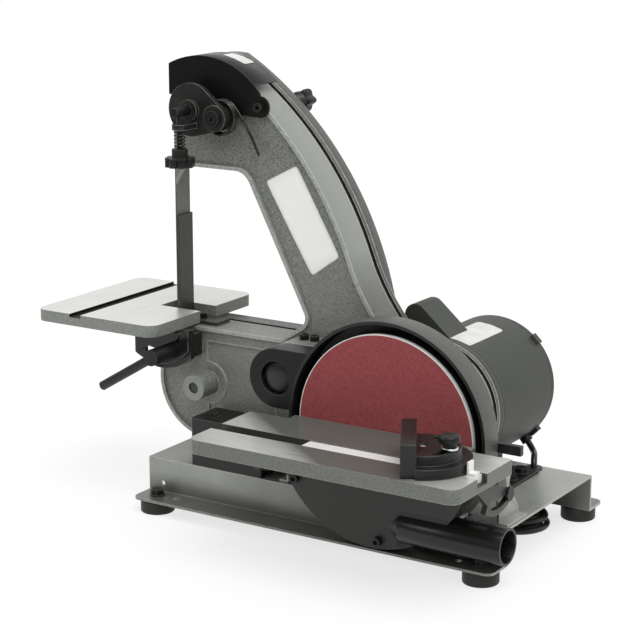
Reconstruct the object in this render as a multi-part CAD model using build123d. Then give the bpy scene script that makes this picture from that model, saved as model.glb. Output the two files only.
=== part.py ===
"""Bench belt and disc sander with a tall C-shaped arm, drawn as separate parts.

Millimetres, +Z up. X runs along the base, Y runs back to the motor.
The drawing starts at the middle of the disc face and is moved to the middle of the footprint.
"""
import math
import os

from build123d import *

# Clearances
FIT = 0.3
RUN = 0.05
SEAT = 0.02
HOLE = 0.4

# Base channel and feet
SHEET = 2.5
DECK_GAP = 7.0
BASE_X0 = -305.0
BASE_L = 442.0
WALL_Y0 = 8.0
WALL_SPAN = 199.5
FLANGE_W = 33.0
FLANGE_R = 10.0
FOOT_R = 18.75
FOOT_H = 15.0
FOOT_PITCH = 400.0
FOOT_EDGE = 19.5
BENCH_PITCH = 350.0
BENCH_R = 3.5
NOTCH_GAP = 3.0
NOTCH_Y = 30.0

# Hexagon bolts and socket screws
BOLT_R = 4.0
BOLT_AF = 13.0
BOLT_HEAD = 5.3
BOLT_L = 12.0
WASHER_R = 8.5
WASHER_T = 1.6
SCREW_R = 3.0
SCREW_HEAD_R = 5.0
SCREW_HEAD = 6.0
SCREW_AF = 5.0
SCREW_L = 9.0

# Spindle, disc and guard
SHAFT_R = 8.0
DISC_R = 101.6
GRIT_T = 1.2
PLATE_T = 12.0
HUB_R = 20.0
GUARD_GAP = 10.0
GUARD_T = 3.4
GUARD_BACK = 28.0
GUARD_PLATE = 4.0
GUARD_SPLIT = -8.0
GUARD_CLEAR = 1.5
NECK_R = 60.0
NECK_T = 6.0
SPINDLE_HOLE = 30.0

# Lower disc cover and its dust tube
COVER_Y0 = -25.0
COVER_TOP = -40.0
COVER_SHEET = 2.5
COVER_SCREW_IN = 8.4
COVER_SCREW_ANGLES = (212.1, 274.7)
TUBE_R = 19.0
TUBE_T = 2.5
TUBE_Y = -13.0
TUBE_Z = -88.8
TUBE_X0 = 34.0
TUBE_X1 = 149.0
TUBE_CONE = 18.0
TUBE_MOUTH_L = 37.0
TUBE_MOUTH_T = 1.0

# Arm casting
WEB_Y = 60.0
WEB_T = 5.0
RIM = 3.0
ARM_BACK = 112.0
WALL_T = 4.0
ARM_X0 = -300.0
ARC_X = -434.5
ARC_Z = 23.4
ARC_R = 382.9
ARM_SPLIT = 312.0
CROWN_X = -260.0
BOX_R = 64.0
BOX_TOP = 63.0
BOX_CORNER = (-296.0, 51.0)
HOUSING_GAP = 2.0
THROAT = [(-360.0, 240.0), (-207.3, 240.0), (-127.5, 85.5), (-176.0, 56.0), (-360.0, 56.0)]
THROAT_TOP_R = 20.0
THROAT_LOW_R = 12.0
BOSS_R = 14.0
BOSS_Y0 = 31.0
PANEL_T = 2.0
PANEL_X1 = -172.0
PANEL_TOP = 47.0
PANEL_LOW = -58.0
PANEL_BOSS_R = 24.0
DUCT_X = -132.0
DUCT_Z = 37.5
DUCT_R = 32.0
DUCT_X1 = -95.0
DUCT_T = 3.0
SIDE_T = 14.0
BELT_ROOM = 0.6
CASE_BEND_R = 220.0
GROOVE_Y = 99.0
GROOVE_W = 6.0
GROOVE_D = 2.5
SIDE_SHEET = 2.5
COVER_GAP = 4.0

# Belt and its wheels
IDLER_X = -260.2
IDLER_R = 45.0
UPPER_Z = 305.0
DRIVE_R = 18.0
WHEEL_W = 26.0
BELT_Y = 80.0
BELT_W = 25.4
BELT_T = 1.2
AXLE_R = 6.4
LOWER_AXLE_Y0 = 33.0
AXLE_END = 3.0

# Tension arm, its springs and the tracking screw
DISH_R = 28.5
DISH_Y0 = 34.0
DISH_T = 5.0
DISH_HOLE = 18.0
PIVOT_X = -229.0
PIVOT_Z = 298.0
PIVOT_HUB_R = 14.0
PIVOT_PIN_R = 5.0
COIL_R = 18.0
COIL_WIRE = 3.2
COIL_PITCH = 3.7
COIL_TURNS = 2.75
COIL_END = 40.0
COIL_LEG = 58.0
AXLE_Y0 = 4.0
UPPER_R = 5.0
UPPER_SLACK = 0.45
LUG_Y = 14.0
LUG_Z = 289.0
LUG_T = 6.0
LUG_R = 8.0
TRACK_R = 3.0
TRACK_KNOB_R = 16.0
TRACK_KNOB_Z = 247.0
TRACK_KNOB_H = 10.0
TRACK_COLLAR_R = 8.5
TRACK_COLLAR_H = 9.0
TRACK_COIL_R = 5.6
TRACK_WIRE = 1.6
TRACK_TURNS = 5.0
TRACK_TIP = 0.8

# Top guard
TOP_GUARD_R = 95.3
TOP_GUARD_T = 1.5
TOP_GUARD_LEFT = -303.5
TOP_GUARD_Z = 316.6
TOP_GUARD_A0 = 45.5
TOP_GUARD_A1 = 117.0
TOP_GUARD_CUT = 19.0
TOP_GUARD_LOW = [(-285.0, 316.6), (-240.0, 302.0), (-190.0, 299.5)]
TOP_GUARD_CLEAR = 7.6
LOBE_X = -185.5
LOBE_Z = 310.7
LOBE_R = 11.5

# Platen
PLATEN_T = 3.0
PLATEN_TOP = 182.0
PLATEN_FOOT = 52.0
PLATEN_FOOT_T = 4.0
PLATEN_SCREW_X = -281.0

# Belt table, its sector and lock
BT_X0 = -436.0
BT_X1 = -274.0
BT_Y0 = -22.0
BT_Y1 = 170.0
BT_TOP = 78.0
BT_T = 13.0
BT_CORNER = 14.0
BT_GROOVE_X = -380.0
BT_GROOVE_W = 15.0
BT_GROOVE_D = 3.0
BT_SLOT_X0 = -328.0
BT_SLOT_W = 30.0
BT_PIVOT_X = -306.0
SECTOR_Y0 = 28.0
SECTOR_T = 6.0
SECTOR_R = 56.0
SECTOR_SLOT_R = 43.6
SECTOR_SLOT_W = 9.0
SECTOR_LEFT = 31.0
SECTOR_RIGHT = 42.0
SECTOR_FOOT = 10.0
SECTOR_FOOT_T = 4.0
LOCK_ANGLE = 32.0
TILT = 45.0
SLOT_SPARE = 3.0
BRACKET_T = 8.0
BRACKET_X1 = -266.0
LEVER_Y = -8.0
LEVER_R = 5.2
LEVER_L = 84.0
LEVER_ANGLE = 211.0
LOCK_R = 4.0
LOCK_HUB_R = 9.0

# Disc table, its trunnions and supports
DT_END = 23.5
DT_Y0 = -129.0
DT_Y1 = -2.0
DT_TOP = 2.5
DT_T = 15.0
DT_CORNER = 12.0
DT_STEP_GAP = 3.4
DT_STEP = 14.0
MITER_Y = -77.0
MITER_W = 19.0
MITER_D = 9.0
DT_PIVOT_Y = -8.0
DT_PIVOT_Z = -8.0
TRUNNION_GAP = 14.0
TRUNNION_T = 6.0
TRUNNION_R = 51.0
TRUNNION_SLOT_R = 41.0
TRUNNION_SLOT_W = 9.0
TRUNNION_LOCK = 30.0
TRUNNION_PAD_L = 34.0
TRUNNION_PAD_W = 8.0
TRUNNION_PAD_T = 5.0
TRUNNION_PAD_IN = 6.0
TRUNNION_EYE_L = 16.0
TRUNNION_EAR = 19.0
SUPPORT_GAP = 3.0
SUPPORT_T = 2.5
SUPPORT_EYE_R = 7.5
SUPPORT_Y0 = 12.0
SUPPORT_Y1 = 56.0
SUPPORT_HEEL = 7.5
SUPPORT_FOOT = 12.0
SUPPORT_SHIN = 17.0
SUPPORT_WAIST = (34.0, -44.0)
SUPPORT_TOP = [(2.0, -4.0), (-7.0, -16.0)]
DT_PIN_R = 4.0
DT_KNOB_R = 10.0
DT_KNOB_L = 11.0
DT_HEAD_R = 7.0
DT_HEAD_T = 3.0
STAY_END = 11.0
STAY_H = 10.0
STAY_T = 6.0
STAY_TOP = 1.0

# Miter gauge
GAUGE_X0 = -45.0
GAUGE_X1 = 147.0
GAUGE_PIVOT_X = 88.6
GAUGE_R = 48.0
GAUGE_H = 10.0
GAUGE_STEP_R = 37.0
GAUGE_STEP_H = 10.0
GAUGE_TURN = 29.0
GAUGE_SWING = 60.0
GAUGE_LOCK = 28.4
FENCE_OFF = 14.0
FENCE_T = 15.0
FENCE_H = 33.0
FENCE_L = 87.0
GAUGE_PIN_R = 4.0
GAUGE_KNOB_R = 13.5
GAUGE_KNOB_H = 9.0

# Motor
MOTOR_R = 72.0
MOTOR_T = 3.0
MOTOR_END = 250.0
BELL_L = 14.0
STATOR_IN = 46.0
STATOR_Y0 = 150.0
STATOR_L = 62.0
AIR_GAP = 0.5
BEARING_R = 17.0
BEARING_W = 10.0
FAN_R = 52.0
FAN_Y0 = 217.0
FAN_T = 12.0
FOOT_SIDE = 14.0
RAIL_X = 48.0
RAIL_T = 6.0
RAIL_END = 12.0
FOOT_Y0 = 113.0
FOOT_Y1 = 184.0
FOOT_PLATE = 3.5
CAP_R = 13.0
CAP_OFF = 26.0
CAP_ANGLE = 112.0
CAP_SPAN = 24.0
CAP_FOOT_R = 8.0
CAP_EDGE = 6.0
CAP_L = 45.0
LEAD_R = 3.5
LEAD_SIDE = 2.0
LEAD_Y = 195.0

# Switch box
BOX_X0 = -248.0
BOX_X1 = -156.0
BOX_Y0 = 9.0
BOX_Z1 = -26.0
BOX_T = 2.0
ROCKER_W = 20.0
ROCKER_H = 28.0

# Mains cord, folded hank and plug
CORD_R = 3.5
HANK_X0 = -70.0
HANK_X1 = 70.0
HANK_Y = 165.6
HANK_OUT = 31.0
HANK_PITCH = 7.6
CORD_EXIT_X = -190.0
CORD_DROP = 16.0
RELIEF_L = 25.0
PLUG_L = 46.0
PLUG_LEAD = 30.0

# Cover knobs
KNOB_R = 13.0
KNOB_H = 16.0
KNOB_NECK = 12.0
KNOB_NECK_R = 7.5
KNOB_A = (-189.5, 308.0)
KNOB_B = (-200.0, 30.0)
STUD_R = 4.0

# Derived places
GUARD_R = DISC_R + GUARD_GAP + GUARD_T
NOTCH_R = GUARD_R + NOTCH_GAP
TRUNNION_X = GUARD_R + TRUNNION_GAP
DT_L = 2 * (TRUNNION_X + DT_END)
DT_STEP_X = DISC_R + DT_STEP_GAP
STAY_X1 = TRUNNION_X + STAY_END
CROWN_R = TOP_GUARD_R - TOP_GUARD_T - FIT
CROWN_Z = UPPER_Z + IDLER_R + BELT_T + TOP_GUARD_CLEAR - (TOP_GUARD_R - TOP_GUARD_T)
HOUSING_R = MOTOR_R + HOUSING_GAP
MOTOR_GAP = MOTOR_R + COVER_GAP
FOOT_X = MOTOR_R + FOOT_SIDE
CAP_X = (MOTOR_R + CAP_OFF) * math.cos(math.radians(CAP_ANGLE))
CAP_Z = (MOTOR_R + CAP_OFF) * math.sin(math.radians(CAP_ANGLE))
LEAD_DECK = (MOTOR_R + LEAD_SIDE, LEAD_Y)
DECK_Z = -(MOTOR_R + DECK_GAP)
CORD_EXIT_Z = DECK_Z - CORD_DROP
FLANGE_Z = -(GUARD_R + GUARD_CLEAR + SHEET)
FLOOR_Z = FLANGE_Z - FOOT_H
BASE_X1 = BASE_X0 + BASE_L
BASE_MID = (BASE_X0 + BASE_X1) / 2
WALL_Y1 = WALL_Y0 + WALL_SPAN
FLANGE_Y0 = WALL_Y0 - FLANGE_W
FLANGE_Y1 = WALL_Y1 + FLANGE_W
FOOT_XS = [BASE_MID - FOOT_PITCH / 2, BASE_MID + FOOT_PITCH / 2]
FOOT_YS = [FLANGE_Y0 + FOOT_EDGE, FLANGE_Y1 - FOOT_EDGE]
BENCH_XS = [BASE_MID - BENCH_PITCH / 2, BASE_MID + BENCH_PITCH / 2]
RIM_Y = WEB_Y - RIM
WEB_BACK = WEB_Y + WEB_T
WHEEL_Y0 = BELT_Y - WHEEL_W / 2
WHEEL_Y1 = BELT_Y + WHEEL_W / 2
PLATEN_X = IDLER_X - IDLER_R
SIDE_BACK = ARM_BACK + SIDE_T
SPLIT_Y = RIM_Y - 2.0
MID_X = (BT_X0 + DT_L / 2) / 2
MID_Y = (DT_Y0 + MOTOR_END) / 2


def across(sketch, y0, y1):
    """Carry an X-Z outline straight back from y0 to y1."""
    plane = Plane(origin=(0, y0, 0), x_dir=(1, 0, 0), z_dir=(0, -1, 0))
    return extrude(plane * sketch, amount=y0 - y1)


def along(sketch, x0, x1):
    """Carry a Y-Z outline to the right from x0 to x1."""
    plane = Plane(origin=(x0, 0, 0), x_dir=(0, 1, 0), z_dir=(1, 0, 0))
    return extrude(plane * sketch, amount=x1 - x0)


def level(sketch, z0, z1):
    """Carry an X-Y outline up from z0 to z1."""
    return extrude(Plane.XY.offset(z0) * sketch, amount=z1 - z0)


def disc(radius, u=0.0, v=0.0):
    """Round outline about (u, v)."""
    return Pos(u, v) * Circle(radius)


def rect(u0, u1, v0, v1):
    """Rectangular outline between two corners."""
    return Pos((u0 + u1) / 2, (v0 + v1) / 2) * Rectangle(u1 - u0, v1 - v0)


def block(x0, x1, y0, y1, z0, z1):
    """Box between two corners."""
    return Pos((x0 + x1) / 2, (y0 + y1) / 2, (z0 + z1) / 2) * Box(x1 - x0, y1 - y0, z1 - z0)


def hull(*rounds):
    """Outline stretched round several circles given as (radius, u, v)."""
    return make_hull([edge for radius, u, v in rounds for edge in disc(radius, u, v).edges()])


def shape(points, radius=0.0):
    """Polygon through the points, with every corner rounded when a radius is given."""
    face = make_face(Polyline(*points, close=True))
    return fillet(face.vertices(), radius) if radius else face


def bow(mid_u, mid_v, radius, width, a0, a1):
    """Curved slot about a centre; angles in degrees from straight down toward +u."""
    ring = disc(radius + width / 2, mid_u, mid_v) - disc(radius - width / 2, mid_u, mid_v)
    far = 4 * radius
    steps = [a0 + (a1 - a0) * k / 6 for k in range(7)]
    fan = [(mid_u + far * math.sin(math.radians(a)), mid_v - far * math.cos(math.radians(a))) for a in steps]
    slot = ring & make_face(Polyline((mid_u, mid_v), *fan, close=True))
    for a in (a0, a1):
        u = mid_u + radius * math.sin(math.radians(a))
        v = mid_v - radius * math.cos(math.radians(a))
        slot = slot + disc(width / 2, u, v)
    return slot


def hex_bolt(x, y, seat):
    """Hexagon bolt with a washer, standing on a level seat."""
    washer = level(disc(WASHER_R, x, y), seat, seat + WASHER_T)
    flats = Pos(x, y) * RegularPolygon(BOLT_AF / 2, 6, major_radius=False)
    head = level(flats, seat + WASHER_T, seat + WASHER_T + BOLT_HEAD)
    return washer + head + level(disc(BOLT_R, x, y), seat - BOLT_L, seat)


def socket_screw(place):
    """Socket screw whose seat and upward axis are set by a place."""
    head = place * Pos(0, 0, SCREW_HEAD / 2) * Cylinder(SCREW_HEAD_R, SCREW_HEAD)
    recess = RegularPolygon(SCREW_AF / 2, 6, major_radius=False)
    head = head - place * level(recess, SCREW_HEAD / 2, SCREW_HEAD + 1)
    return head + place * Pos(0, 0, -SCREW_L / 2) * Cylinder(SCREW_R, SCREW_L)


def biarc(points, tangents):
    """Pairs of tangent arcs through the points, each pair meeting where both arms are equal."""
    edges = []
    for p0, p1, t0, t1 in zip(points, points[1:], tangents, tangents[1:]):
        v = p1 - p0
        t = t0 + t1
        c = 1 - t0.dot(t1)
        vt = v.dot(t)
        d = (-vt + math.sqrt(vt * vt + 2 * c * v.dot(v))) / (2 * c)
        join = (p0 + p1 + (t0 - t1) * d) * 0.5
        edges.append(TangentArc(p0, join, tangent=t0))
        edges.append(TangentArc(join, p1, tangent=(p1 - t1 * d) - (p0 + t0 * d)))
    return edges


def tube(edges, radius):
    """Round section swept along joined edges."""
    path = Wire(edges)
    start = Plane(origin=path @ 0, z_dir=path % 0)
    return sweep(start * Circle(radius), path=path)


def lobed(radius, height, lobes):
    """Hand knob: a round body with rounded lobes."""
    outline = disc(radius * 0.72)
    for k in range(lobes):
        a = 2 * math.pi * k / lobes
        outline = outline + disc(radius * 0.3, radius * 0.7 * math.cos(a), radius * 0.7 * math.sin(a))
    return level(outline, 0, height)


def facing_back(solid, x, y, z):
    """Turn a piece standing on +Z so it points along +Y and put it in place."""
    return Pos(x, y, z) * Rot(-90, 0, 0) * solid


def mirror_x(solid):
    """Copy of a piece on the other side of the disc."""
    return mirror(solid, about=Plane.YZ)


parts = {}

# Base channel: bent sheet with two outward flanges
wall_low = FLANGE_Z + SHEET
base = block(BASE_X0, BASE_X1, WALL_Y0, WALL_Y1, DECK_Z - SHEET, DECK_Z)
base += block(BASE_X0, BASE_X1, WALL_Y0, WALL_Y0 + SHEET, FLANGE_Z, DECK_Z)
base += block(BASE_X0, BASE_X1, WALL_Y1 - SHEET, WALL_Y1, FLANGE_Z, DECK_Z)
front_flange = fillet(rect(BASE_X0, BASE_X1, FLANGE_Y0, WALL_Y0 + SHEET).vertices().group_by(Axis.Y)[0], FLANGE_R)
back_flange = fillet(rect(BASE_X0, BASE_X1, WALL_Y1 - SHEET, FLANGE_Y1).vertices().group_by(Axis.Y)[-1], FLANGE_R)
base += level(front_flange, FLANGE_Z, wall_low) + level(back_flange, FLANGE_Z, wall_low)
base -= across(disc(NOTCH_R) & rect(-NOTCH_R, NOTCH_R, wall_low, DECK_Z + 1), WALL_Y0 - 1, NOTCH_Y)
base -= level(disc(LEAD_R + 4, *LEAD_DECK), DECK_Z - SHEET - 1, DECK_Z + 1)
base -= across(disc(2.5, BASE_X0 + 18.5, FLANGE_Z + 12), WALL_Y0 - 1, WALL_Y0 + SHEET + 1)
for x in FOOT_XS:
    for y in FOOT_YS:
        base -= level(disc(BOLT_R + HOLE, x, y), FLANGE_Z - 1, wall_low + 1)
for x in BENCH_XS:
    for y in FOOT_YS:
        base -= level(disc(BENCH_R, x, y), FLANGE_Z - 1, wall_low + 1)

# Rubber feet and the bolts that hold them
feet = []
bolts = []
for x in FOOT_XS:
    for y in FOOT_YS:
        foot = level(disc(FOOT_R, x, y), FLOOR_Z, FLANGE_Z)
        foot = chamfer(foot.edges().group_by(Axis.Z)[0], 1.0)
        feet.append(foot - level(disc(BOLT_R + HOLE, x, y), wall_low - BOLT_L - 1, FLANGE_Z + 1))
        bolts.append(hex_bolt(x, y, wall_low))
parts["rubber_feet"] = Compound(children=feet)


def arm_outline(inset, cased=True):
    """X-Z outline of the C-shaped arm, drawn in by an inset, with or without the bulge round the belt."""
    sweep_face = disc(ARC_R - inset, ARC_X, ARC_Z)
    column = rect(ARM_X0 + inset, 20, 0, ARM_SPLIT)
    crown = disc(CROWN_R - inset, CROWN_X, CROWN_Z) & rect(ARM_X0 + inset, 20, 290, 400)
    arm = (column + crown) & sweep_face
    if cased:
        room = BELT_T + FIT + BELT_ROOM + WALL_T - inset
        case = hull((IDLER_R + room, IDLER_X, UPPER_Z), (DRIVE_R + room, 0, 0))
        arm = arm + (case & rect(THROAT[2][0], 20, 0, THROAT[1][1]))
        bend = arm.vertices().filter_by_position(Axis.Y, BOX_TOP, THROAT[1][1]).sort_by(Axis.X)[-1]
        arm = fillet(bend, CASE_BEND_R + inset)
    arm = arm + disc(HOUSING_R - inset)
    throat = shape(THROAT)
    throat = fillet(throat.vertices().sort_by_distance((*THROAT[1], 0))[0], THROAT_TOP_R)
    throat = fillet(throat.vertices().sort_by_distance((*THROAT[2], 0))[0], THROAT_LOW_R)
    arm = arm - (offset(throat, inset) if inset else throat)
    low = hull((BOX_R - inset, IDLER_X, 0), (HOUSING_R - inset, 0, 0))
    low = low + hull((BOX_R - inset, IDLER_X, 0), (12 - inset, *BOX_CORNER))
    low = low & rect(-360, HOUSING_R - inset, -100, BOX_TOP - inset)
    return arm + low


outline = arm_outline(0)
cover_outline = arm_outline(0, cased=False)
wall_inner = arm_outline(WALL_T)

# Arm casting: web, surrounding wall, disc guard ring, neck, dust duct and axle boss
duct_out = hull((DUCT_R, DUCT_X, DUCT_Z), (DUCT_R, DUCT_X1, DUCT_Z))
duct_in = hull((DUCT_R - DUCT_T, DUCT_X, DUCT_Z), (DUCT_R - DUCT_T, DUCT_X1, DUCT_Z))
walls = across(outline - wall_inner, RIM_Y, ARM_BACK)
walls -= block(ARM_X0 - 1, ARM_X0 + 10, RIM_Y - 1, ARM_BACK + 1, THROAT[0][1] + WALL_T, 400)
arm = across(outline, WEB_Y, WEB_BACK) + walls
arm += across(outline - cover_outline, ARM_BACK - WALL_T, ARM_BACK)
guard_ring = across(disc(GUARD_R) - disc(GUARD_R - GUARD_T), 0, GUARD_BACK)
guard_ring -= block(-150, 150, -1, GUARD_BACK - GUARD_PLATE, -150, GUARD_SPLIT)
arm += guard_ring
arm += across(disc(GUARD_R) - disc(SPINDLE_HOLE), GUARD_BACK - GUARD_PLATE, GUARD_BACK)
arm += across(disc(NECK_R), GUARD_BACK, WEB_Y)
arm += across(duct_out, GUARD_BACK, WEB_Y)
arm -= across(duct_in, GUARD_BACK, WEB_BACK + 1)
arm -= across(disc(NECK_R - NECK_T), GUARD_BACK, WEB_Y)
arm -= across(disc(SPINDLE_HOLE), WEB_Y - 1, WEB_BACK + 1)
arm += across(disc(BOSS_R, IDLER_X, 0), BOSS_Y0, WEB_BACK)
arm -= across(disc(AXLE_R + SEAT, IDLER_X, 0), BOSS_Y0 - 1, WEB_BACK + 1)
panel = rect(IDLER_X, PANEL_X1, PANEL_LOW, PANEL_TOP) - disc(PANEL_BOSS_R, IDLER_X, 0)
arm -= across(panel, WEB_Y - 1, WEB_Y + PANEL_T)
arm -= across(disc(DISH_HOLE, IDLER_X, UPPER_Z), WEB_Y - 1, WEB_BACK + 1)
arm -= block(PLATEN_X - 8, PLATEN_X + 8, WEB_BACK, ARM_BACK - 8, BOX_TOP - 30, BOX_TOP + 1)
arm += block(IDLER_X - 24, BRACKET_X1 - 2, RIM_Y, WEB_Y, 30, 58)
arm += block(IDLER_X + 20, IDLER_X + 90, WEB_BACK, ARM_BACK - 6, DECK_Z, -BOX_R + 1)
arm += across(disc(9, PIVOT_X, PIVOT_Z), RIM_Y, WEB_BACK)
arm -= across(disc(PIVOT_PIN_R + SEAT, PIVOT_X, PIVOT_Z), RIM_Y - 1, WEB_BACK + 1)
arm -= across(disc(SCREW_R + FIT, LOBE_X, LOBE_Z), RIM_Y - 1, WEB_BACK + 1)
arm -= level(disc(SCREW_R + FIT, PLATEN_SCREW_X, BELT_Y), BOX_TOP - WALL_T - 1, BOX_TOP + 1)
for x, z in (KNOB_A, KNOB_B):
    arm += across(disc(7, x, z), WEB_BACK, ARM_BACK)
    arm -= across(disc(STUD_R + SEAT, x, z), WEB_BACK, ARM_BACK + 1)
arm -= across(outline - arm_outline(GROOVE_D), GROOVE_Y, GROOVE_Y + GROOVE_W)
parts["arm_casting"] = arm

# Side cover over the wheels, with two studs and star knobs
cover_face = cover_outline - disc(MOTOR_GAP)
side = across(cover_face, ARM_BACK, SIDE_BACK)
cover_inner = arm_outline(SIDE_SHEET, cased=False) - disc(MOTOR_GAP + SIDE_SHEET)
side -= across(cover_inner, ARM_BACK - 1, SIDE_BACK - SIDE_SHEET)
studs = []
for name, (x, z) in (("cover_knob_top", KNOB_A), ("cover_knob_low", KNOB_B)):
    side += across(disc(7, x, z), ARM_BACK, SIDE_BACK)
    side -= across(disc(STUD_R + HOLE, x, z), ARM_BACK - 1, SIDE_BACK + 1)
    studs.append(across(disc(STUD_R, x, z), WEB_BACK, SIDE_BACK + KNOB_NECK + KNOB_H - 4))
    knob = Pos(0, 0, KNOB_NECK) * lobed(KNOB_R, KNOB_H, 5) + level(disc(KNOB_NECK_R), 0, KNOB_NECK)
    knob -= level(disc(STUD_R + RUN), -1, KNOB_NECK + KNOB_H - 3)
    parts[name] = facing_back(knob, x, SIDE_BACK + FIT, z)
parts["side_cover"] = side
parts["cover_studs"] = Compound(children=studs)

# Top guard: bent strip over the crown with a flat side plate
strip_in = TOP_GUARD_R - TOP_GUARD_T
far = 2 * TOP_GUARD_R
fan = [(CROWN_X + far * math.cos(math.radians(a)), CROWN_Z + far * math.sin(math.radians(a)))
       for a in (TOP_GUARD_A0, 66.0, 92.0, TOP_GUARD_A1)]
strip = (disc(TOP_GUARD_R, CROWN_X, CROWN_Z) - disc(strip_in, CROWN_X, CROWN_Z))
strip = strip & make_face(Polyline((CROWN_X, CROWN_Z), *fan, close=True))
guard_top = CROWN_Z + far
guard_low = [(TOP_GUARD_LEFT, TOP_GUARD_Z)] + TOP_GUARD_LOW + [(LOBE_X, TOP_GUARD_LOW[-1][1])]
guard_low += [(LOBE_X, guard_top), (TOP_GUARD_LEFT, guard_top)]
plate = disc(TOP_GUARD_R, CROWN_X, CROWN_Z) & shape(guard_low)
plate = plate + disc(LOBE_R, LOBE_X, LOBE_Z) - disc(TOP_GUARD_CUT, IDLER_X, UPPER_Z)
plate -= disc(PIVOT_HUB_R + 2, PIVOT_X, PIVOT_Z)
plate -= disc(SCREW_R + HOLE, LOBE_X, LOBE_Z)
top_guard = across(strip, SPLIT_Y, GROOVE_Y) + across(plate, SPLIT_Y, RIM_Y)
parts["top_guard"] = top_guard

# Lower disc cover with the dust tube
drum = disc(GUARD_R) - disc(GUARD_R - GUARD_T)
split = GUARD_BACK - GUARD_PLATE
cover = across(drum & rect(-150, 150, -150, COVER_TOP), COVER_Y0, split)
cover += across(drum & rect(-150, 150, -150, GUARD_SPLIT), 0, split)
cover += across(disc(GUARD_R) & rect(-150, 150, -150, COVER_TOP), COVER_Y0, COVER_Y0 + COVER_SHEET)
tube_out = along(disc(TUBE_R, TUBE_Y, TUBE_Z), TUBE_X0, TUBE_X1)
cone = Pos(TUBE_X0 - TUBE_CONE / 2, TUBE_Y, TUBE_Z) * Rot(0, 90, 0) * Cone(TUBE_R * 0.45, TUBE_R, TUBE_CONE)
cover += tube_out + cone
cover -= along(disc(TUBE_R - TUBE_T, TUBE_Y, TUBE_Z), TUBE_X0, TUBE_X1 + 1)
cover -= along(disc(TUBE_R - TUBE_MOUTH_T, TUBE_Y, TUBE_Z), TUBE_X0, TUBE_X0 + TUBE_MOUTH_L)
cover -= across(disc(GUARD_R - GUARD_T), COVER_Y0 + COVER_SHEET, split)
parts["lower_disc_cover"] = cover

# Belt dust chute on the front of the duct
chute_face = duct_out - disc(GUARD_R + FIT)
chute_hollow = duct_in - disc(GUARD_R + FIT + DUCT_T)
port_r = DUCT_R * 0.56
chute = across(chute_face, 0, GUARD_BACK) - across(chute_hollow, DUCT_T, GUARD_BACK + 1)
chute += across(disc(port_r + 2.5, DUCT_X, DUCT_Z), DUCT_T, GUARD_BACK - 8)
chute -= across(disc(port_r, DUCT_X, DUCT_Z), -1, GUARD_BACK)
parts["belt_dust_chute"] = chute

# Wheels and belt
lower_axle = across(disc(AXLE_R, IDLER_X, 0), LOWER_AXLE_Y0, WHEEL_Y1 + AXLE_END)
parts["lower_axle"] = lower_axle


def wheel(radius, bore, x, z):
    """Crowned-width idler wheel: rim, thin web and hub."""
    body = across(disc(radius, x, z), WHEEL_Y0, WHEEL_Y1)
    for y0, y1 in ((WHEEL_Y0 - 1, BELT_Y - 4), (BELT_Y + 4, WHEEL_Y1 + 1)):
        body -= across(disc(radius - 7, x, z) - disc(bore + 8, x, z), y0, y1)
    return body - across(disc(bore, x, z), WHEEL_Y0 - 1, WHEEL_Y1 + 1)


parts["lower_wheel"] = wheel(IDLER_R, AXLE_R + RUN, IDLER_X, 0)
parts["upper_wheel"] = wheel(IDLER_R, UPPER_R + RUN, IDLER_X, UPPER_Z)
drive = across(disc(DRIVE_R), WHEEL_Y0, WHEEL_Y1)
parts["drive_wheel"] = drive - across(disc(SHAFT_R + SEAT), WHEEL_Y0 - 1, WHEEL_Y1 + 1)
loops = []
for grow in (FIT, FIT + BELT_T):
    loops.append(hull((IDLER_R + grow, IDLER_X, UPPER_Z), (IDLER_R + grow, IDLER_X, 0), (DRIVE_R + grow, 0, 0)))
belt_face = loops[1] - loops[0]
parts["sanding_belt"] = across(belt_face, BELT_Y - BELT_W / 2, BELT_Y + BELT_W / 2)
print("belt length mm", round(sum(edge.length for edge in loops[0].edges()), 1))

# Platen behind the straight run, with a foot on the casting
platen_y0 = BELT_Y - BELT_W / 2
platen_y1 = BELT_Y + BELT_W / 2
platen = block(PLATEN_X, PLATEN_X + PLATEN_T, platen_y0, platen_y1, BOX_TOP, PLATEN_TOP)
platen += block(PLATEN_X, PLATEN_X + PLATEN_FOOT, platen_y0, platen_y1, BOX_TOP, BOX_TOP + PLATEN_FOOT_T)
platen -= level(disc(SCREW_R + HOLE, PLATEN_SCREW_X, BELT_Y), BOX_TOP - 1, BOX_TOP + PLATEN_FOOT_T + 1)
parts["platen"] = platen

# Tension arm: dish, pivot hub and a lug for the tracking screw
hub_back = RIM_Y - FIT
dish_y1 = DISH_Y0 + DISH_T
tension = across(hull((DISH_R, IDLER_X, UPPER_Z), (PIVOT_HUB_R, PIVOT_X, PIVOT_Z)), DISH_Y0, dish_y1)
tension += across(disc(PIVOT_HUB_R, PIVOT_X, PIVOT_Z), DISH_Y0 - 2, hub_back)
tension += across(disc(UPPER_R + 6, IDLER_X, UPPER_Z), DISH_Y0 - 5, dish_y1 + 10)
tension += block(IDLER_X - LUG_R, IDLER_X + LUG_R, LUG_Y, DISH_Y0, LUG_Z - LUG_T / 2, LUG_Z + LUG_T / 2)
tension += level(disc(LUG_R, IDLER_X, LUG_Y), LUG_Z - LUG_T / 2, LUG_Z + LUG_T / 2)
tension -= across(disc(PIVOT_PIN_R + RUN, PIVOT_X, PIVOT_Z), DISH_Y0 - 6, hub_back + 1)
tension -= across(disc(UPPER_R + UPPER_SLACK, IDLER_X, UPPER_Z), DISH_Y0 - 6, dish_y1 + 11)
tension -= level(disc(TRACK_R + RUN, IDLER_X, LUG_Y), LUG_Z - LUG_T, LUG_Z + LUG_T)
parts["tension_arm"] = tension
pin = across(disc(PIVOT_PIN_R, PIVOT_X, PIVOT_Z), DISH_Y0 - 2 - FIT, WEB_BACK)
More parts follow.
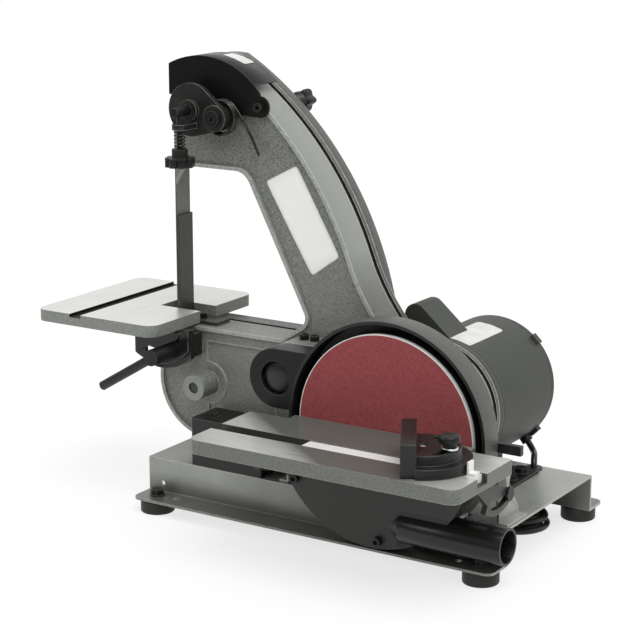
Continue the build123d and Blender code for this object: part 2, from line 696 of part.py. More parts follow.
cap = across(disc(PIVOT_PIN_R + 3.5, PIVOT_X, PIVOT_Z), DISH_Y0 - 6 - FIT, DISH_Y0 - 2 - FIT)
recess = Pos(PIVOT_X, PIVOT_Z) * RegularPolygon(3.0, 6, major_radius=False)
parts["pivot_bolt"] = pin + cap - across(recess, DISH_Y0 - 7, DISH_Y0 - 4)

# Torsion spring round the pivot hub, its long leg pressing down beside the web
coil_y0 = dish_y1 + COIL_WIRE / 2 + FIT
coil_end = math.radians(COIL_END)
coil_start = coil_end + 2 * math.pi * COIL_TURNS
rise = COIL_PITCH / (2 * math.pi)
points = []
tangents = []
for k in range(int(COIL_TURNS * 4) + 1):
    a = coil_start - k * math.pi / 2
    radius = COIL_R
    points.append(Vector(PIVOT_X + radius * math.cos(a), coil_y0 + rise * (coil_start - a),
                         PIVOT_Z + radius * math.sin(a)))
    tangents.append(Vector(radius * math.sin(a), rise, -radius * math.cos(a)).normalized())
lead = Line(points[0] - tangents[0] * COIL_WIRE, points[0])
leg = Line(points[-1], points[-1] + tangents[-1] * COIL_LEG)
torsion_edges = [lead] + biarc(points, tangents) + [leg]
parts["torsion_spring"] = tube(torsion_edges, COIL_WIRE / 2)

# Upper axle, tracking knob with its screw, and the spring under the lug
upper_axle = across(disc(UPPER_R, IDLER_X, UPPER_Z), AXLE_Y0, WHEEL_Y1 + AXLE_END)
parts["upper_axle"] = upper_axle
collar_z = TRACK_KNOB_Z + TRACK_KNOB_H
track = Pos(IDLER_X, LUG_Y, TRACK_KNOB_Z) * lobed(TRACK_KNOB_R, TRACK_KNOB_H, 8)
track += level(disc(TRACK_COLLAR_R, IDLER_X, LUG_Y), collar_z, collar_z + TRACK_COLLAR_H)
track += level(disc(TRACK_R, IDLER_X, LUG_Y), collar_z, UPPER_Z - UPPER_R - TRACK_TIP)
parts["tracking_knob"] = track
spring_z0 = collar_z + TRACK_COLLAR_H + TRACK_WIRE / 2
spring_z1 = LUG_Z - LUG_T / 2 - TRACK_WIRE / 2
turn_rise = (spring_z1 - spring_z0) / (2 * math.pi * TRACK_TURNS)
points = []
tangents = []
for k in range(int(TRACK_TURNS * 4) + 1):
    a = k * math.pi / 2
    points.append(Vector(IDLER_X + TRACK_COIL_R * math.cos(a), LUG_Y + TRACK_COIL_R * math.sin(a),
                         spring_z0 + turn_rise * a))
    tangents.append(Vector(-TRACK_COIL_R * math.sin(a), TRACK_COIL_R * math.cos(a), turn_rise).normalized())
track_edges = biarc(points, tangents)
parts["tracking_spring"] = tube(track_edges, TRACK_WIRE / 2)

# Belt table with its groove, belt slot and sector
bt_z0 = BT_TOP - BT_T
top = fillet(rect(BT_X0, BT_X1, BT_Y0, BT_Y1).vertices(), BT_CORNER)
top -= rect(BT_SLOT_X0, BT_X1 + 1, BELT_Y - BT_SLOT_W / 2, BELT_Y + BT_SLOT_W / 2)
belt_table = level(top, bt_z0, BT_TOP)
groove_x0 = BT_GROOVE_X - BT_GROOVE_W / 2
groove_x1 = BT_GROOVE_X + BT_GROOVE_W / 2
belt_table -= block(groove_x0, groove_x1, BT_Y0 - 1, BT_Y1 + 1, BT_TOP - BT_GROOVE_D, BT_TOP + 1)
parts["belt_table"] = belt_table
sector_face = disc(SECTOR_R, BT_PIVOT_X, BT_TOP) & rect(BT_PIVOT_X - SECTOR_LEFT, BT_PIVOT_X + SECTOR_RIGHT, 0, bt_z0)
sector_face -= bow(BT_PIVOT_X, BT_TOP, SECTOR_SLOT_R, SECTOR_SLOT_W,
                   LOCK_ANGLE - TILT - SLOT_SPARE, LOCK_ANGLE + SLOT_SPARE)
sector_y1 = SECTOR_Y0 + SECTOR_T
sector = across(sector_face, SECTOR_Y0, sector_y1)
sector += block(BT_PIVOT_X - SECTOR_LEFT, BT_PIVOT_X + SECTOR_LEFT, SECTOR_Y0 - SECTOR_FOOT, sector_y1,
                bt_z0 - SECTOR_FOOT_T, bt_z0)
parts["belt_table_trunnion"] = sector

# Fixed bracket for the belt table, and the lock lever
lock_x = BT_PIVOT_X + SECTOR_SLOT_R * math.sin(math.radians(LOCK_ANGLE))
lock_z = BT_TOP - SECTOR_SLOT_R * math.cos(math.radians(LOCK_ANGLE))
bracket_y0 = sector_y1 + FIT
bracket_y1 = bracket_y0 + BRACKET_T
bracket_face = disc(SECTOR_R + 6, BT_PIVOT_X, BT_TOP) & rect(BT_PIVOT_X - 8, BRACKET_X1, 0, bt_z0 - 2)
tilt_room = rect(-BT_X1 + BT_X0, SECTOR_R, -BT_T - 1, SECTOR_R)
bracket_face -= Pos(BT_PIVOT_X, BT_TOP) * Rot(0, 0, TILT) * tilt_room
bracket = across(bracket_face, bracket_y0, bracket_y1)
bracket += block(IDLER_X - 24, BRACKET_X1, bracket_y1, RIM_Y, 32, 58)
bracket -= across(disc(LOCK_R + RUN, lock_x, lock_z), bracket_y0 - 1, RIM_Y - 3)
parts["belt_table_bracket"] = bracket
hub_y0 = LEVER_Y - LEVER_R - 2
lever = across(disc(LOCK_HUB_R, lock_x, lock_z), hub_y0, SECTOR_Y0 - FIT)
lever += across(disc(LOCK_R, lock_x, lock_z), SECTOR_Y0 - FIT, bracket_y1)
lever += Pos(lock_x, LEVER_Y, lock_z) * Rot(0, 180 - LEVER_ANGLE, 0) * Pos(-LEVER_L / 2, 0, 0) * (
    Rot(0, 90, 0) * Cylinder(LEVER_R, LEVER_L))
parts["lock_lever"] = lever

# Disc table with its miter slot
dt_x = DT_L / 2
dt_z0 = DT_TOP - DT_T
step_y = DT_Y1 - DT_STEP
top = shape([(-dt_x, DT_Y0), (dt_x, DT_Y0), (dt_x, step_y), (DT_STEP_X, step_y), (DT_STEP_X, DT_Y1),
             (-DT_STEP_X, DT_Y1), (-DT_STEP_X, step_y), (-dt_x, step_y)])
top = fillet(top.vertices().group_by(Axis.Y)[0], DT_CORNER)
disc_table = level(top, dt_z0, DT_TOP)
back_low = disc_table.edges().filter_by(Axis.X).group_by(Axis.Z)[0].sort_by(Axis.Y)[-1]
disc_table = chamfer(back_low, 5.0)
disc_table -= block(-dt_x - 1, dt_x + 1, MITER_Y - MITER_W / 2, MITER_Y + MITER_W / 2, DT_TOP - MITER_D, DT_TOP + 1)
parts["disc_table"] = disc_table

# Trunnions under the disc table and the fixed supports
pad_y1 = step_y - TRUNNION_PAD_IN
pad_y0 = pad_y1 - TRUNNION_PAD_L
far = 4 * TRUNNION_R
fan = [(DT_PIVOT_Y + far * math.sin(math.radians(a)), DT_PIVOT_Z - far * math.cos(math.radians(a)))
       for a in (-32.0, -10.0, 20.0, 42.0)]
sector_face = disc(TRUNNION_R, DT_PIVOT_Y, DT_PIVOT_Z) & make_face(
    Polyline((DT_PIVOT_Y, DT_PIVOT_Z), *fan, close=True))
sector_face += hull((SUPPORT_EYE_R, DT_PIVOT_Y, DT_PIVOT_Z), (4, pad_y0, dt_z0 - 4), (4, pad_y1 - 6, dt_z0 - 28))
sector_face -= rect(-300, step_y + FIT, dt_z0, 100)
sector_face -= bow(DT_PIVOT_Y, DT_PIVOT_Z, TRUNNION_SLOT_R, TRUNNION_SLOT_W,
                   TRUNNION_LOCK - TILT - SLOT_SPARE, TRUNNION_LOCK + SLOT_SPARE)
trunnion = along(sector_face, TRUNNION_X, TRUNNION_X + TRUNNION_T)
trunnion += block(TRUNNION_X - TRUNNION_PAD_W, TRUNNION_X + TRUNNION_T + TRUNNION_PAD_W, pad_y0, pad_y1,
                  dt_z0 - TRUNNION_PAD_T, dt_z0)
support_x1 = TRUNNION_X - SUPPORT_GAP
support_x0 = support_x1 - SUPPORT_T
trunnion += along(disc(DT_PIN_R, DT_PIVOT_Y, DT_PIVOT_Z), support_x0 - 1, TRUNNION_X)
ear_face = hull((SUPPORT_EYE_R, DT_PIVOT_Y, DT_PIVOT_Z), (2, DT_PIVOT_Y, DT_PIVOT_Z - TRUNNION_EAR))
trunnion += along(ear_face, TRUNNION_X, TRUNNION_X + TRUNNION_EYE_L)
parts["table_trunnions"] = Compound(children=[trunnion, mirror_x(trunnion)])
dt_lock_y = DT_PIVOT_Y + TRUNNION_SLOT_R * math.sin(math.radians(TRUNNION_LOCK))
dt_lock_z = DT_PIVOT_Z - TRUNNION_SLOT_R * math.cos(math.radians(TRUNNION_LOCK))
side_face = shape([(SUPPORT_Y0, DECK_Z), (SUPPORT_Y1, DECK_Z), (SUPPORT_Y1, DECK_Z + SUPPORT_HEEL), SUPPORT_WAIST]
                  + SUPPORT_TOP + [(SUPPORT_Y0, DECK_Z + SUPPORT_SHIN)])
side_face = side_face + disc(SUPPORT_EYE_R, DT_PIVOT_Y, DT_PIVOT_Z)
side_face -= disc(DT_PIN_R + RUN, DT_PIVOT_Y, DT_PIVOT_Z)
side_face -= disc(LOCK_R + RUN, dt_lock_y, dt_lock_z)
support = along(side_face, support_x0, support_x1)
support += block(support_x0, support_x0 + SUPPORT_FOOT, SUPPORT_Y0, SUPPORT_Y1, DECK_Z, DECK_Z + SUPPORT_T)
parts["tilt_supports"] = Compound(children=[support, mirror_x(support)])
knob_x1 = support_x0 - FIT
knob_x0 = knob_x1 - DT_KNOB_L
knob = along(disc(DT_KNOB_R, dt_lock_y, dt_lock_z), knob_x0, knob_x1)
for k in range(12):
    a = 2 * math.pi * k / 12
    knob -= along(disc(1.6, dt_lock_y + DT_KNOB_R * math.cos(a), dt_lock_z + DT_KNOB_R * math.sin(a)),
                  knob_x0 - 1, knob_x1 + 1)
head_x0 = TRUNNION_X + TRUNNION_T + FIT
knob += along(disc(LOCK_R, dt_lock_y, dt_lock_z), knob_x1, head_x0)
knob += along(disc(DT_HEAD_R, dt_lock_y, dt_lock_z), head_x0, head_x0 + DT_HEAD_T)
parts["table_lock_right"] = knob
parts["table_lock_left"] = mirror_x(knob)

# Stay bar behind the right end of the disc table
stay_back = GUARD_BACK + STAY_T
stay = block(NECK_R, STAY_X1, GUARD_BACK, stay_back, STAY_TOP - STAY_H, STAY_TOP)
parts["stay_bar"] = stay - across(disc(NECK_R + FIT), GUARD_BACK - 1, stay_back + 1)

# Miter gauge: bar with its pointer, swivelling head and knob
bar_z0 = DT_TOP - MITER_D + RUN
bar_z1 = DT_TOP - 1.0
bar = block(GAUGE_X0, GAUGE_X1, MITER_Y - MITER_W / 2 + RUN, MITER_Y + MITER_W / 2 - RUN, bar_z0, bar_z1)
pointer_x0 = GAUGE_PIVOT_X + GAUGE_R + 2
bar += block(pointer_x0, GAUGE_X1, MITER_Y - 5, MITER_Y + 5, bar_z1, DT_TOP + 2.5)
bar += block(pointer_x0, pointer_x0 + 2, MITER_Y - 5, MITER_Y + 5, DT_TOP + 2.5, DT_TOP + GAUGE_H + 3)
lock_pin_x = GAUGE_PIVOT_X + GAUGE_LOCK
head_z0 = DT_TOP + FIT
step_z = head_z0 + GAUGE_H
head_z1 = step_z + GAUGE_STEP_H
bar += level(disc(GAUGE_PIN_R, GAUGE_PIVOT_X, MITER_Y), bar_z1, head_z1 - 2)
bar -= level(disc(GAUGE_PIN_R + RUN, lock_pin_x, MITER_Y), bar_z0 - 1, bar_z1 + 1)
parts["miter_bar"] = bar
fence_face = rect(-FENCE_OFF - FENCE_T / 2, -FENCE_OFF + FENCE_T / 2, -FENCE_L / 2, FENCE_L / 2)
fence_x1 = -FENCE_OFF + FENCE_T / 2
head = level(disc(GAUGE_R) & rect(fence_x1 - 1, GAUGE_R, -GAUGE_R, GAUGE_R), head_z0, step_z)
head += level(disc(GAUGE_STEP_R) & rect(fence_x1 - 1, GAUGE_R, -GAUGE_R, GAUGE_R), step_z, head_z1)
head += level(fence_face, head_z0, head_z0 + FENCE_H)
head -= level(disc(GAUGE_PIN_R + RUN), head_z0 - 1, head_z0 + FENCE_H)
swing = bow(0, 0, GAUGE_LOCK, 2 * (GAUGE_PIN_R + FIT), -GAUGE_SWING - SLOT_SPARE, GAUGE_SWING + SLOT_SPARE)
head -= level(Rot(0, 0, 90) * swing, head_z0 - 1, head_z1 + 1)
parts["miter_head"] = Pos(GAUGE_PIVOT_X, MITER_Y, 0) * Rot(0, 0, GAUGE_TURN) * head
gauge_z = head_z1 + FIT
gauge_knob = level(disc(GAUGE_KNOB_R * 0.78), gauge_z, gauge_z + 6)
gauge_knob += level(disc(GAUGE_KNOB_R), gauge_z + 6, gauge_z + 6 + GAUGE_KNOB_H)
gauge_knob = fillet(gauge_knob.edges().group_by(Axis.Z)[-1], 2.0)
gauge_knob += level(disc(GAUGE_PIN_R), bar_z0 + 1, gauge_z)
parts["miter_knob"] = Pos(lock_pin_x, MITER_Y, 0) * gauge_knob

# Spindle: shaft, disc plate, abrasive disc
bearing_y0 = ARM_BACK + 2
rear_y1 = MOTOR_END - 3
shaft_y0 = GRIT_T + 2
parts["sanding_disc"] = across(disc(DISC_R), 0, GRIT_T)
plate = across(disc(DISC_R), GRIT_T, GRIT_T + PLATE_T)
plate += across(disc(HUB_R), GRIT_T + PLATE_T, WEB_BACK - 6)
parts["disc_plate"] = plate - across(disc(SHAFT_R + SEAT), shaft_y0, WEB_BACK)
parts["motor_shaft"] = across(disc(SHAFT_R), shaft_y0, rear_y1)

# Motor: bells, shell, stator, rotor, bearings and fan
front_y1 = ARM_BACK + BELL_L
rear_y0 = MOTOR_END - BELL_L
front_bell = across(disc(MOTOR_R), ARM_BACK, front_y1)
front_bell -= across(disc(MOTOR_R - 6) - disc(BEARING_R + 6), ARM_BACK + 4, front_y1 + 1)
front_bell -= across(disc(BEARING_R + SEAT), bearing_y0, front_y1 + 1)
parts["motor_front_bell"] = front_bell - across(disc(SHAFT_R + HOLE), ARM_BACK - 1, bearing_y0 + 1)
rear_bell = across(disc(MOTOR_R), rear_y0, MOTOR_END)
rear_bell = fillet(rear_bell.edges().sort_by(Axis.Y)[-1], 7.0)
rear_bell -= across(disc(MOTOR_R - 8) - disc(BEARING_R + 6), rear_y0 - 1, MOTOR_END - 4)
rear_bell -= across(disc(BEARING_R + SEAT), rear_y0 - 1, rear_y1 + SEAT)
for a in (46, 136, 226, 316):
    clip = block(MOTOR_R - 4, MOTOR_R + 4, rear_y0 - 1, rear_y0 + 7, -6, 6)
    clip -= across(disc(MOTOR_R + SEAT), rear_y0 - 2, rear_y0)
    rear_bell += Rot(0, -a, 0) * clip
parts["motor_rear_bell"] = rear_bell
parts["motor_shell"] = across(disc(MOTOR_R) - disc(MOTOR_R - MOTOR_T), front_y1, rear_y0)
stator_y1 = STATOR_Y0 + STATOR_L
parts["motor_stator"] = across(disc(MOTOR_R - MOTOR_T - SEAT) - disc(STATOR_IN), STATOR_Y0, stator_y1)
parts["rotor_core"] = across(disc(STATOR_IN - AIR_GAP) - disc(SHAFT_R + SEAT), STATOR_Y0, stator_y1)
rings = []
for y0 in (bearing_y0, rear_y1 - BEARING_W):
    rings.append(across(disc(BEARING_R) - disc(SHAFT_R + RUN), y0, y0 + BEARING_W))
parts["motor_bearings"] = Compound(children=rings)
fan_body = across(disc(FAN_R), FAN_Y0, FAN_Y0 + 2) + across(disc(SHAFT_R + 6), FAN_Y0, FAN_Y0 + FAN_T)
for k in range(8):
    fan_body += Rot(0, 45 * k, 0) * block(SHAFT_R + 4, FAN_R, FAN_Y0 + 1, FAN_Y0 + FAN_T, -1, 1)
parts["cooling_fan"] = fan_body - across(disc(SHAFT_R + SEAT), FAN_Y0 - 1, FAN_Y0 + FAN_T + 1)

# Motor foot on the deck, bolted through slots
foot_top = DECK_Z + FOOT_PLATE
motor_foot = block(-FOOT_X, FOOT_X, FOOT_Y0, FOOT_Y1, DECK_Z, foot_top)
rail_in = RAIL_X - RAIL_T
rail_y0 = front_y1 + WALL_T
rail_y1 = FOOT_Y1 - RAIL_END
motor_foot += block(-RAIL_X, RAIL_X, rail_y0, rail_y1, foot_top, foot_top + MOTOR_R / 2)
motor_foot -= block(-rail_in, rail_in, rail_y0 - 1, rail_y1 + 1, foot_top, DECK_Z + MOTOR_R)
motor_foot -= across(disc(MOTOR_R + SEAT), ARM_BACK, MOTOR_END)
motor_bolt_x = FOOT_X - 12
motor_bolt_ys = [FOOT_Y0 + 25, FOOT_Y1 - 20]
for x in (-motor_bolt_x, motor_bolt_x):
    for y in motor_bolt_ys:
        slot = hull((BOLT_R + HOLE, x, y - 6), (BOLT_R + HOLE, x, y + 6))
        motor_foot -= level(slot, DECK_Z - 1, foot_top + 1)
        base -= level(disc(BOLT_R + HOLE, x, y), DECK_Z - SHEET - 1, DECK_Z + 1)
        bolts.append(hex_bolt(x, y, foot_top))
parts["motor_foot"] = motor_foot
parts["hex_bolts"] = Compound(children=bolts)
cap_seat = MOTOR_R - CAP_FOOT_R
cap_feet = [(CAP_FOOT_R, cap_seat * math.cos(math.radians(a)), cap_seat * math.sin(math.radians(a)))
            for a in (CAP_ANGLE - CAP_SPAN, CAP_ANGLE + CAP_SPAN)]
cap_face = hull((CAP_R, CAP_X, CAP_Z), *cap_feet)
cap_cover = across(cap_face, SIDE_BACK + 1, SIDE_BACK + 1 + CAP_L)
cap_cover = fillet(cap_cover.edges().group_by(Axis.Y)[-1], CAP_EDGE)
parts["capacitor_cover"] = cap_cover - across(disc(MOTOR_R + SEAT), ARM_BACK, MOTOR_END)

# Motor lead from the shell down through the deck
lead_a = math.radians(-50.0)
lead_y = rear_y0 - 9
mouth = Vector(MOTOR_R * math.cos(lead_a), lead_y, MOTOR_R * math.sin(lead_a))
out = Vector(math.cos(lead_a), 0, math.sin(lead_a))
gland = Pos(*(mouth + out * 3)) * Rot(0, 90 + 50, 0) * Cylinder(LEAD_R + 3, 8)
gland -= across(disc(MOTOR_R + SEAT), ARM_BACK, MOTOR_END)
gland -= Pos(*mouth) * Rot(0, 90 + 50, 0) * Cylinder(LEAD_R + SEAT, 40)
parts["lead_gland"] = gland
lead_points = [mouth + out * SEAT * 20, mouth + out * 20, Vector(*LEAD_DECK, DECK_Z + 12),
               Vector(*LEAD_DECK, DECK_Z - 8)]
lead_radii = [9.0, 9.0]
lead_path = FilletPolyline(*lead_points, radius=lead_radii)
parts["motor_lead"] = tube(lead_path.edges(), LEAD_R)
grommet = level(disc(LEAD_R + 4 - SEAT, *LEAD_DECK), DECK_Z - SHEET, DECK_Z)
grommet += level(disc(LEAD_R + 6, *LEAD_DECK), DECK_Z, DECK_Z + 2)
parts["deck_grommet"] = grommet - level(disc(LEAD_R + SEAT, *LEAD_DECK), DECK_Z - SHEET - 1, DECK_Z + 3)

# Switch box with a rocker on its end
box_y1 = RIM_Y - FIT
switch_box = block(BOX_X0, BOX_X1, BOX_Y0, box_y1, DECK_Z, BOX_Z1)
switch_box = fillet(switch_box.edges().filter_by(Axis.Z), 2.5)
switch_box -= block(BOX_X0 + BOX_T, BOX_X1 - BOX_T, BOX_Y0 + BOX_T, box_y1 - BOX_T, DECK_Z - 1, BOX_Z1 - BOX_T)
rocker_y = (BOX_Y0 + box_y1) / 2
rocker_z = (DECK_Z + BOX_Z1) / 2
switch_box -= block(BOX_X0 - 1, BOX_X0 + BOX_T + 1, rocker_y - ROCKER_W / 2 - FIT, rocker_y + ROCKER_W / 2 + FIT,
                    rocker_z - ROCKER_H / 2 - FIT, rocker_z + ROCKER_H / 2 + FIT)
parts["switch_box"] = switch_box
half = ROCKER_H / 2
rocker_face = shape([(BOX_X0 + 4, rocker_z - half + 1), (BOX_X0 - 0.5, rocker_z - half + 1), (BOX_X0 - 1, rocker_z),
                     (BOX_X0 - 3.5, rocker_z + half - 2), (BOX_X0 + 4, rocker_z + half - 2)])
parts["switch_rocker"] = across(rocker_face, rocker_y - ROCKER_W / 2, rocker_y + ROCKER_W / 2)

# Socket screws: platen, top guard and the two on the duct shelf
screws = []
screws.append(socket_screw(Pos(PLATEN_SCREW_X, BELT_Y, BOX_TOP + PLATEN_FOOT_T)))
screws.append(socket_screw(Pos(LOBE_X, SPLIT_Y, LOBE_Z) * Rot(90, 0, 0)))
shelf_z = DUCT_Z + DUCT_R
shelf_screws = [(DUCT_X + 5, WEB_Y - 11), (DUCT_X + 18, WEB_Y - 11)]
for x, y in shelf_screws:
    parts["arm_casting"] -= level(disc(SCREW_R + FIT, x, y), shelf_z - SCREW_L - 1, shelf_z + 1)
    screws.append(socket_screw(Pos(x, y, shelf_z)))
for a in COVER_SCREW_ANGLES:
    x = (GUARD_R - COVER_SCREW_IN) * math.cos(math.radians(a))
    z = (GUARD_R - COVER_SCREW_IN) * math.sin(math.radians(a))
    screws.append(socket_screw(Pos(x, COVER_Y0, z) * Rot(90, 0, 0)))
    parts["lower_disc_cover"] -= across(disc(SCREW_R + FIT, x, z), COVER_Y0 - 1, COVER_Y0 + SCREW_L)
parts["socket_screws"] = Compound(children=screws)
parts["base_channel"] = base

# Mains cord: strain relief under the deck, a free run, a folded hank on the floor and a plug
low_z = FLOOR_Z + CORD_R
high_z = low_z + HANK_PITCH
relief_y = HANK_Y + HANK_OUT
relief = block(CORD_EXIT_X - RELIEF_L - 14, CORD_EXIT_X - RELIEF_L, relief_y - 9, WALL_Y1 - SHEET,
               CORD_EXIT_Z - 9, DECK_Z - SHEET)
relief += Pos(CORD_EXIT_X - RELIEF_L / 2, relief_y, CORD_EXIT_Z) * Rot(0, 90, 0) * Cone(
    CORD_R + 3.5, CORD_R + 1.2, RELIEF_L)
relief -= along(disc(CORD_R + SEAT, relief_y, CORD_EXIT_Z), CORD_EXIT_X - RELIEF_L - 15, CORD_EXIT_X + 1)
parts["strain_relief"] = relief
run_points = [Vector(CORD_EXIT_X - RELIEF_L - 8, relief_y, CORD_EXIT_Z),
              Vector(CORD_EXIT_X + 30, relief_y, CORD_EXIT_Z),
              Vector(HANK_X0 - 35, relief_y, high_z), Vector(HANK_X0, relief_y, high_z)]
drop = math.atan2(CORD_EXIT_Z - high_z, HANK_X0 - 35 - CORD_EXIT_X - 30)
run_radius = 0.45 * 35 / math.tan(drop / 2)
print("cord run radius mm", round(run_radius, 1))
run_path = FilletPolyline(*run_points, radius=[run_radius, run_radius])
parts["mains_cord"] = tube(run_path.edges(), CORD_R)
half_pitch = HANK_PITCH / 2
turns_high = [HANK_OUT, -(HANK_OUT - half_pitch), HANK_OUT - 2 * half_pitch, -(HANK_OUT - 3 * half_pitch)]
turns_low = [HANK_OUT - 2 * half_pitch, -(HANK_OUT - half_pitch), HANK_OUT, -(HANK_OUT + half_pitch)]
hank_edges = []
rows = [(y, high_z) for y in turns_high] + [(y, low_z) for y in turns_low]
for k, (dy, z) in enumerate(rows):
    heading = 1 if k % 2 == 0 else -1
    x_in, x_out = (HANK_X0, HANK_X1) if heading == 1 else (HANK_X1, HANK_X0)
    y = HANK_Y + dy
    start = Vector(x_in, y, z)
    if k + 1 < len(rows):
        y_next, z_next = HANK_Y + rows[k + 1][0], rows[k + 1][1]
        step = Vector(heading * 35, 0, 0)
        if z_next != z:
            climb = FilletPolyline(start, start + step, Vector(x_out, y, z_next) - step, Vector(x_out, y, z_next),
                                   radius=[120.0, 120.0])
            hank_edges += list(climb.edges())
        else:
            hank_edges.append(Line(start, Vector(x_out, y, z)))
        bulge = Vector(x_out + heading * abs(y - y_next) / 2, (y + y_next) / 2, z_next)
        hank_edges.append(ThreePointArc(Vector(x_out, y, z_next), bulge, Vector(x_out, y_next, z_next)))
    else:
        hank_edges.append(Line(start, Vector(x_out - PLUG_LEAD, y, z)))
        plug_at = Vector(x_out - PLUG_LEAD, y, z)
parts["cord_hank"] = tube(hank_edges, CORD_R)
print("cord length mm", round(run_path.length + sum(edge.length for edge in hank_edges), 1))
plug = block(plug_at.X - PLUG_L, plug_at.X - 14, plug_at.Y - 14, plug_at.Y + 14, FLOOR_Z, FLOOR_Z + 24)
plug = fillet(plug.edges().filter_by(Axis.X), 5.0)
plug += Pos(plug_at.X - 7, plug_at.Y, plug_at.Z + 2) * Rot(0, 90, 0) * Cone(8, 5.5, 14)
plug -= block(plug_at.X - 20, plug_at.X + 1, plug_at.Y - 20, plug_at.Y + 20, FLOOR_Z - 10, FLOOR_Z)
for dy in (-6.4, 6.4):
    y = plug_at.Y + dy
    plug += block(plug_at.X - PLUG_L - 17, plug_at.X - PLUG_L, y - 0.8, y + 0.8, FLOOR_Z + 12, FLOOR_Z + 18)
plug += along(disc(2.4, plug_at.Y, FLOOR_Z + 7), plug_at.X - PLUG_L - 19, plug_at.X - PLUG_L)
parts["plug"] = plug


def least_gap(edges, radius, skip):
    """Smallest clear distance between turns, from points every two millimetres along the path."""
    spots = []
    run = 0.0
    for edge in edges:
        count = max(2, int(edge.length / 2))
        for k in range(count):
            spots.append((run + edge.length * k / count, edge @ (k / count)))
        run += edge.length
    best = 1e9
    for i, (s0, p0) in enumerate(spots):
        for s1, p1 in spots[i + 1:]:
            if s1 - s0 > skip:
                best = min(best, (p1 - p0).length - 2 * radius)
    return round(best, 2)


print("torsion spring gap mm", least_gap(torsion_edges, COIL_WIRE / 2, 20))
print("tracking spring gap mm", least_gap(track_edges, TRACK_WIRE / 2, 12))
print("hank gap mm", least_gap(hank_edges, CORD_R, 40))

# Write every part in the shared frame: middle of the footprint, floor at zero
os.makedirs("parts", exist_ok=True)
for name, solid in parts.items():
    export_step(Pos(-MID_X, -MID_Y, -FLOOR_Z) * solid, "parts/" + name + ".step")
print("parts", len(parts))
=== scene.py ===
"""Looks of a bench belt and disc sander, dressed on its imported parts, in metres with +Z up."""
import math

import bmesh
import bpy
import numpy as np
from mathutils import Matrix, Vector


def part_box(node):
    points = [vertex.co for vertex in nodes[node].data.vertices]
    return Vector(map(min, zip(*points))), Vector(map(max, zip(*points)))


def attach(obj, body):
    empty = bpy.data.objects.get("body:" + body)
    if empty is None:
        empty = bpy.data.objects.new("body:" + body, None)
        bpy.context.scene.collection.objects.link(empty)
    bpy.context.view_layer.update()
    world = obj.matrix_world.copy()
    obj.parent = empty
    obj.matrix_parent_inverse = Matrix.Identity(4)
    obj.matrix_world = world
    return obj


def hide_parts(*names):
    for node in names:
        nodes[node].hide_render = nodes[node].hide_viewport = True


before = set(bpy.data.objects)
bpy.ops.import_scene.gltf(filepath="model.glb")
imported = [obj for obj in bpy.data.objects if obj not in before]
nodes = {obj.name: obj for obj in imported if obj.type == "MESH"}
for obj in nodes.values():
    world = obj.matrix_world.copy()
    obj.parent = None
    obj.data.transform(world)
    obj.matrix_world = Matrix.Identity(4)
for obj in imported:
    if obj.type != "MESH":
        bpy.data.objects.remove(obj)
bpy.context.view_layer.update()


# Studio: a white paper sheet in a room that is white above and behind and dark in front,
# with one broad lamp high at the right and a smaller one at the left front.
# The camera stands where the photographer stood.
def new_object(name, data):
    """Object at the origin that holds some data, put in the scene."""
    piece = bpy.data.objects.new(name, data)
    bpy.context.scene.collection.objects.link(piece)
    return piece


def skin(name, grid, around=True, weld=0.00001):
    """Mesh over a grid of points: one square cell between neighbours, columns joined round when asked."""
    rows, columns = grid.shape[:2]
    number = np.arange(rows * columns).reshape(rows, columns)
    right = np.roll(number, -1, axis=1)
    last = columns if around else columns - 1
    cells = np.stack([number[:-1, :last], right[:-1, :last], right[1:, :last], number[1:, :last]], axis=-1)
    mesh = bpy.data.meshes.new(name)
    mesh.from_pydata(grid.reshape(-1, 3).tolist(), [], cells.reshape(-1, 4).tolist())
    if weld:
        shell = bmesh.new()
        shell.from_mesh(mesh)
        bmesh.ops.remove_doubles(shell, verts=shell.verts, dist=weld)
        bmesh.ops.recalc_face_normals(shell, faces=shell.faces)
        shell.to_mesh(mesh)
        shell.free()
    mesh.shade_smooth()
    return new_object(name, mesh)


def new_material(name, colour, roughness=0.5, shine=0.5, metal=0.0):
    """Node material whose shader starts from one colour, roughness, gloss level and metal share."""
    material = bpy.data.materials.new(name)
    material.use_nodes = True
    shader = material.node_tree.nodes["Principled BSDF"]
    shader.inputs["Base Color"].default_value = (*colour, 1.0)
    shader.inputs["Roughness"].default_value = roughness
    shader.inputs["Specular IOR Level"].default_value = shine
    shader.inputs["Metallic"].default_value = metal
    return material


def wire(tree, *pairs):
    """Lead the first of each pair to the second: a socket is linked, a plain value is set."""
    for value, target in pairs:
        if isinstance(value, bpy.types.NodeSocket):
            tree.links.new(value, target)
        else:
            target.default_value = value


def ranged(tree, source, low, high, to_low=0.0, to_high=1.0):
    """Number brought from one range to another: hands back the result socket."""
    node = tree.nodes.new("ShaderNodeMapRange")
    given = {"Value": source, "From Min": low, "From Max": high, "To Min": to_low, "To Max": to_high}
    wire(tree, *((value, node.inputs[socket]) for socket, value in given.items()))
    return node.outputs["Result"]


def worked(tree, operation, first, *others):
    """Numbers joined one after another by a sum, product or comparison: hands back the result socket."""
    for other in others:
        node = tree.nodes.new("ShaderNodeMath")
        node.operation = operation
        wire(tree, (first, node.inputs[0]), (other, node.inputs[1]))
        first = node.outputs["Value"]
    return first


WHITE = (1.0, 1.0, 1.0, 1.0)


def show_white(tree, share, under, kind, output):
    """Mix a plain white shader of a given kind over the shader underneath, by a share, and show the mix."""
    white = tree.nodes.new(kind)
    mix = tree.nodes.new("ShaderNodeMixShader")
    wire(tree, (WHITE, white.inputs["Color"]), (share, mix.inputs[0]),
         (tree.nodes[under].outputs[0], mix.inputs[1]), (white.outputs[0], mix.inputs[2]),
         (mix.outputs[0], tree.nodes[output].inputs["Surface"]))


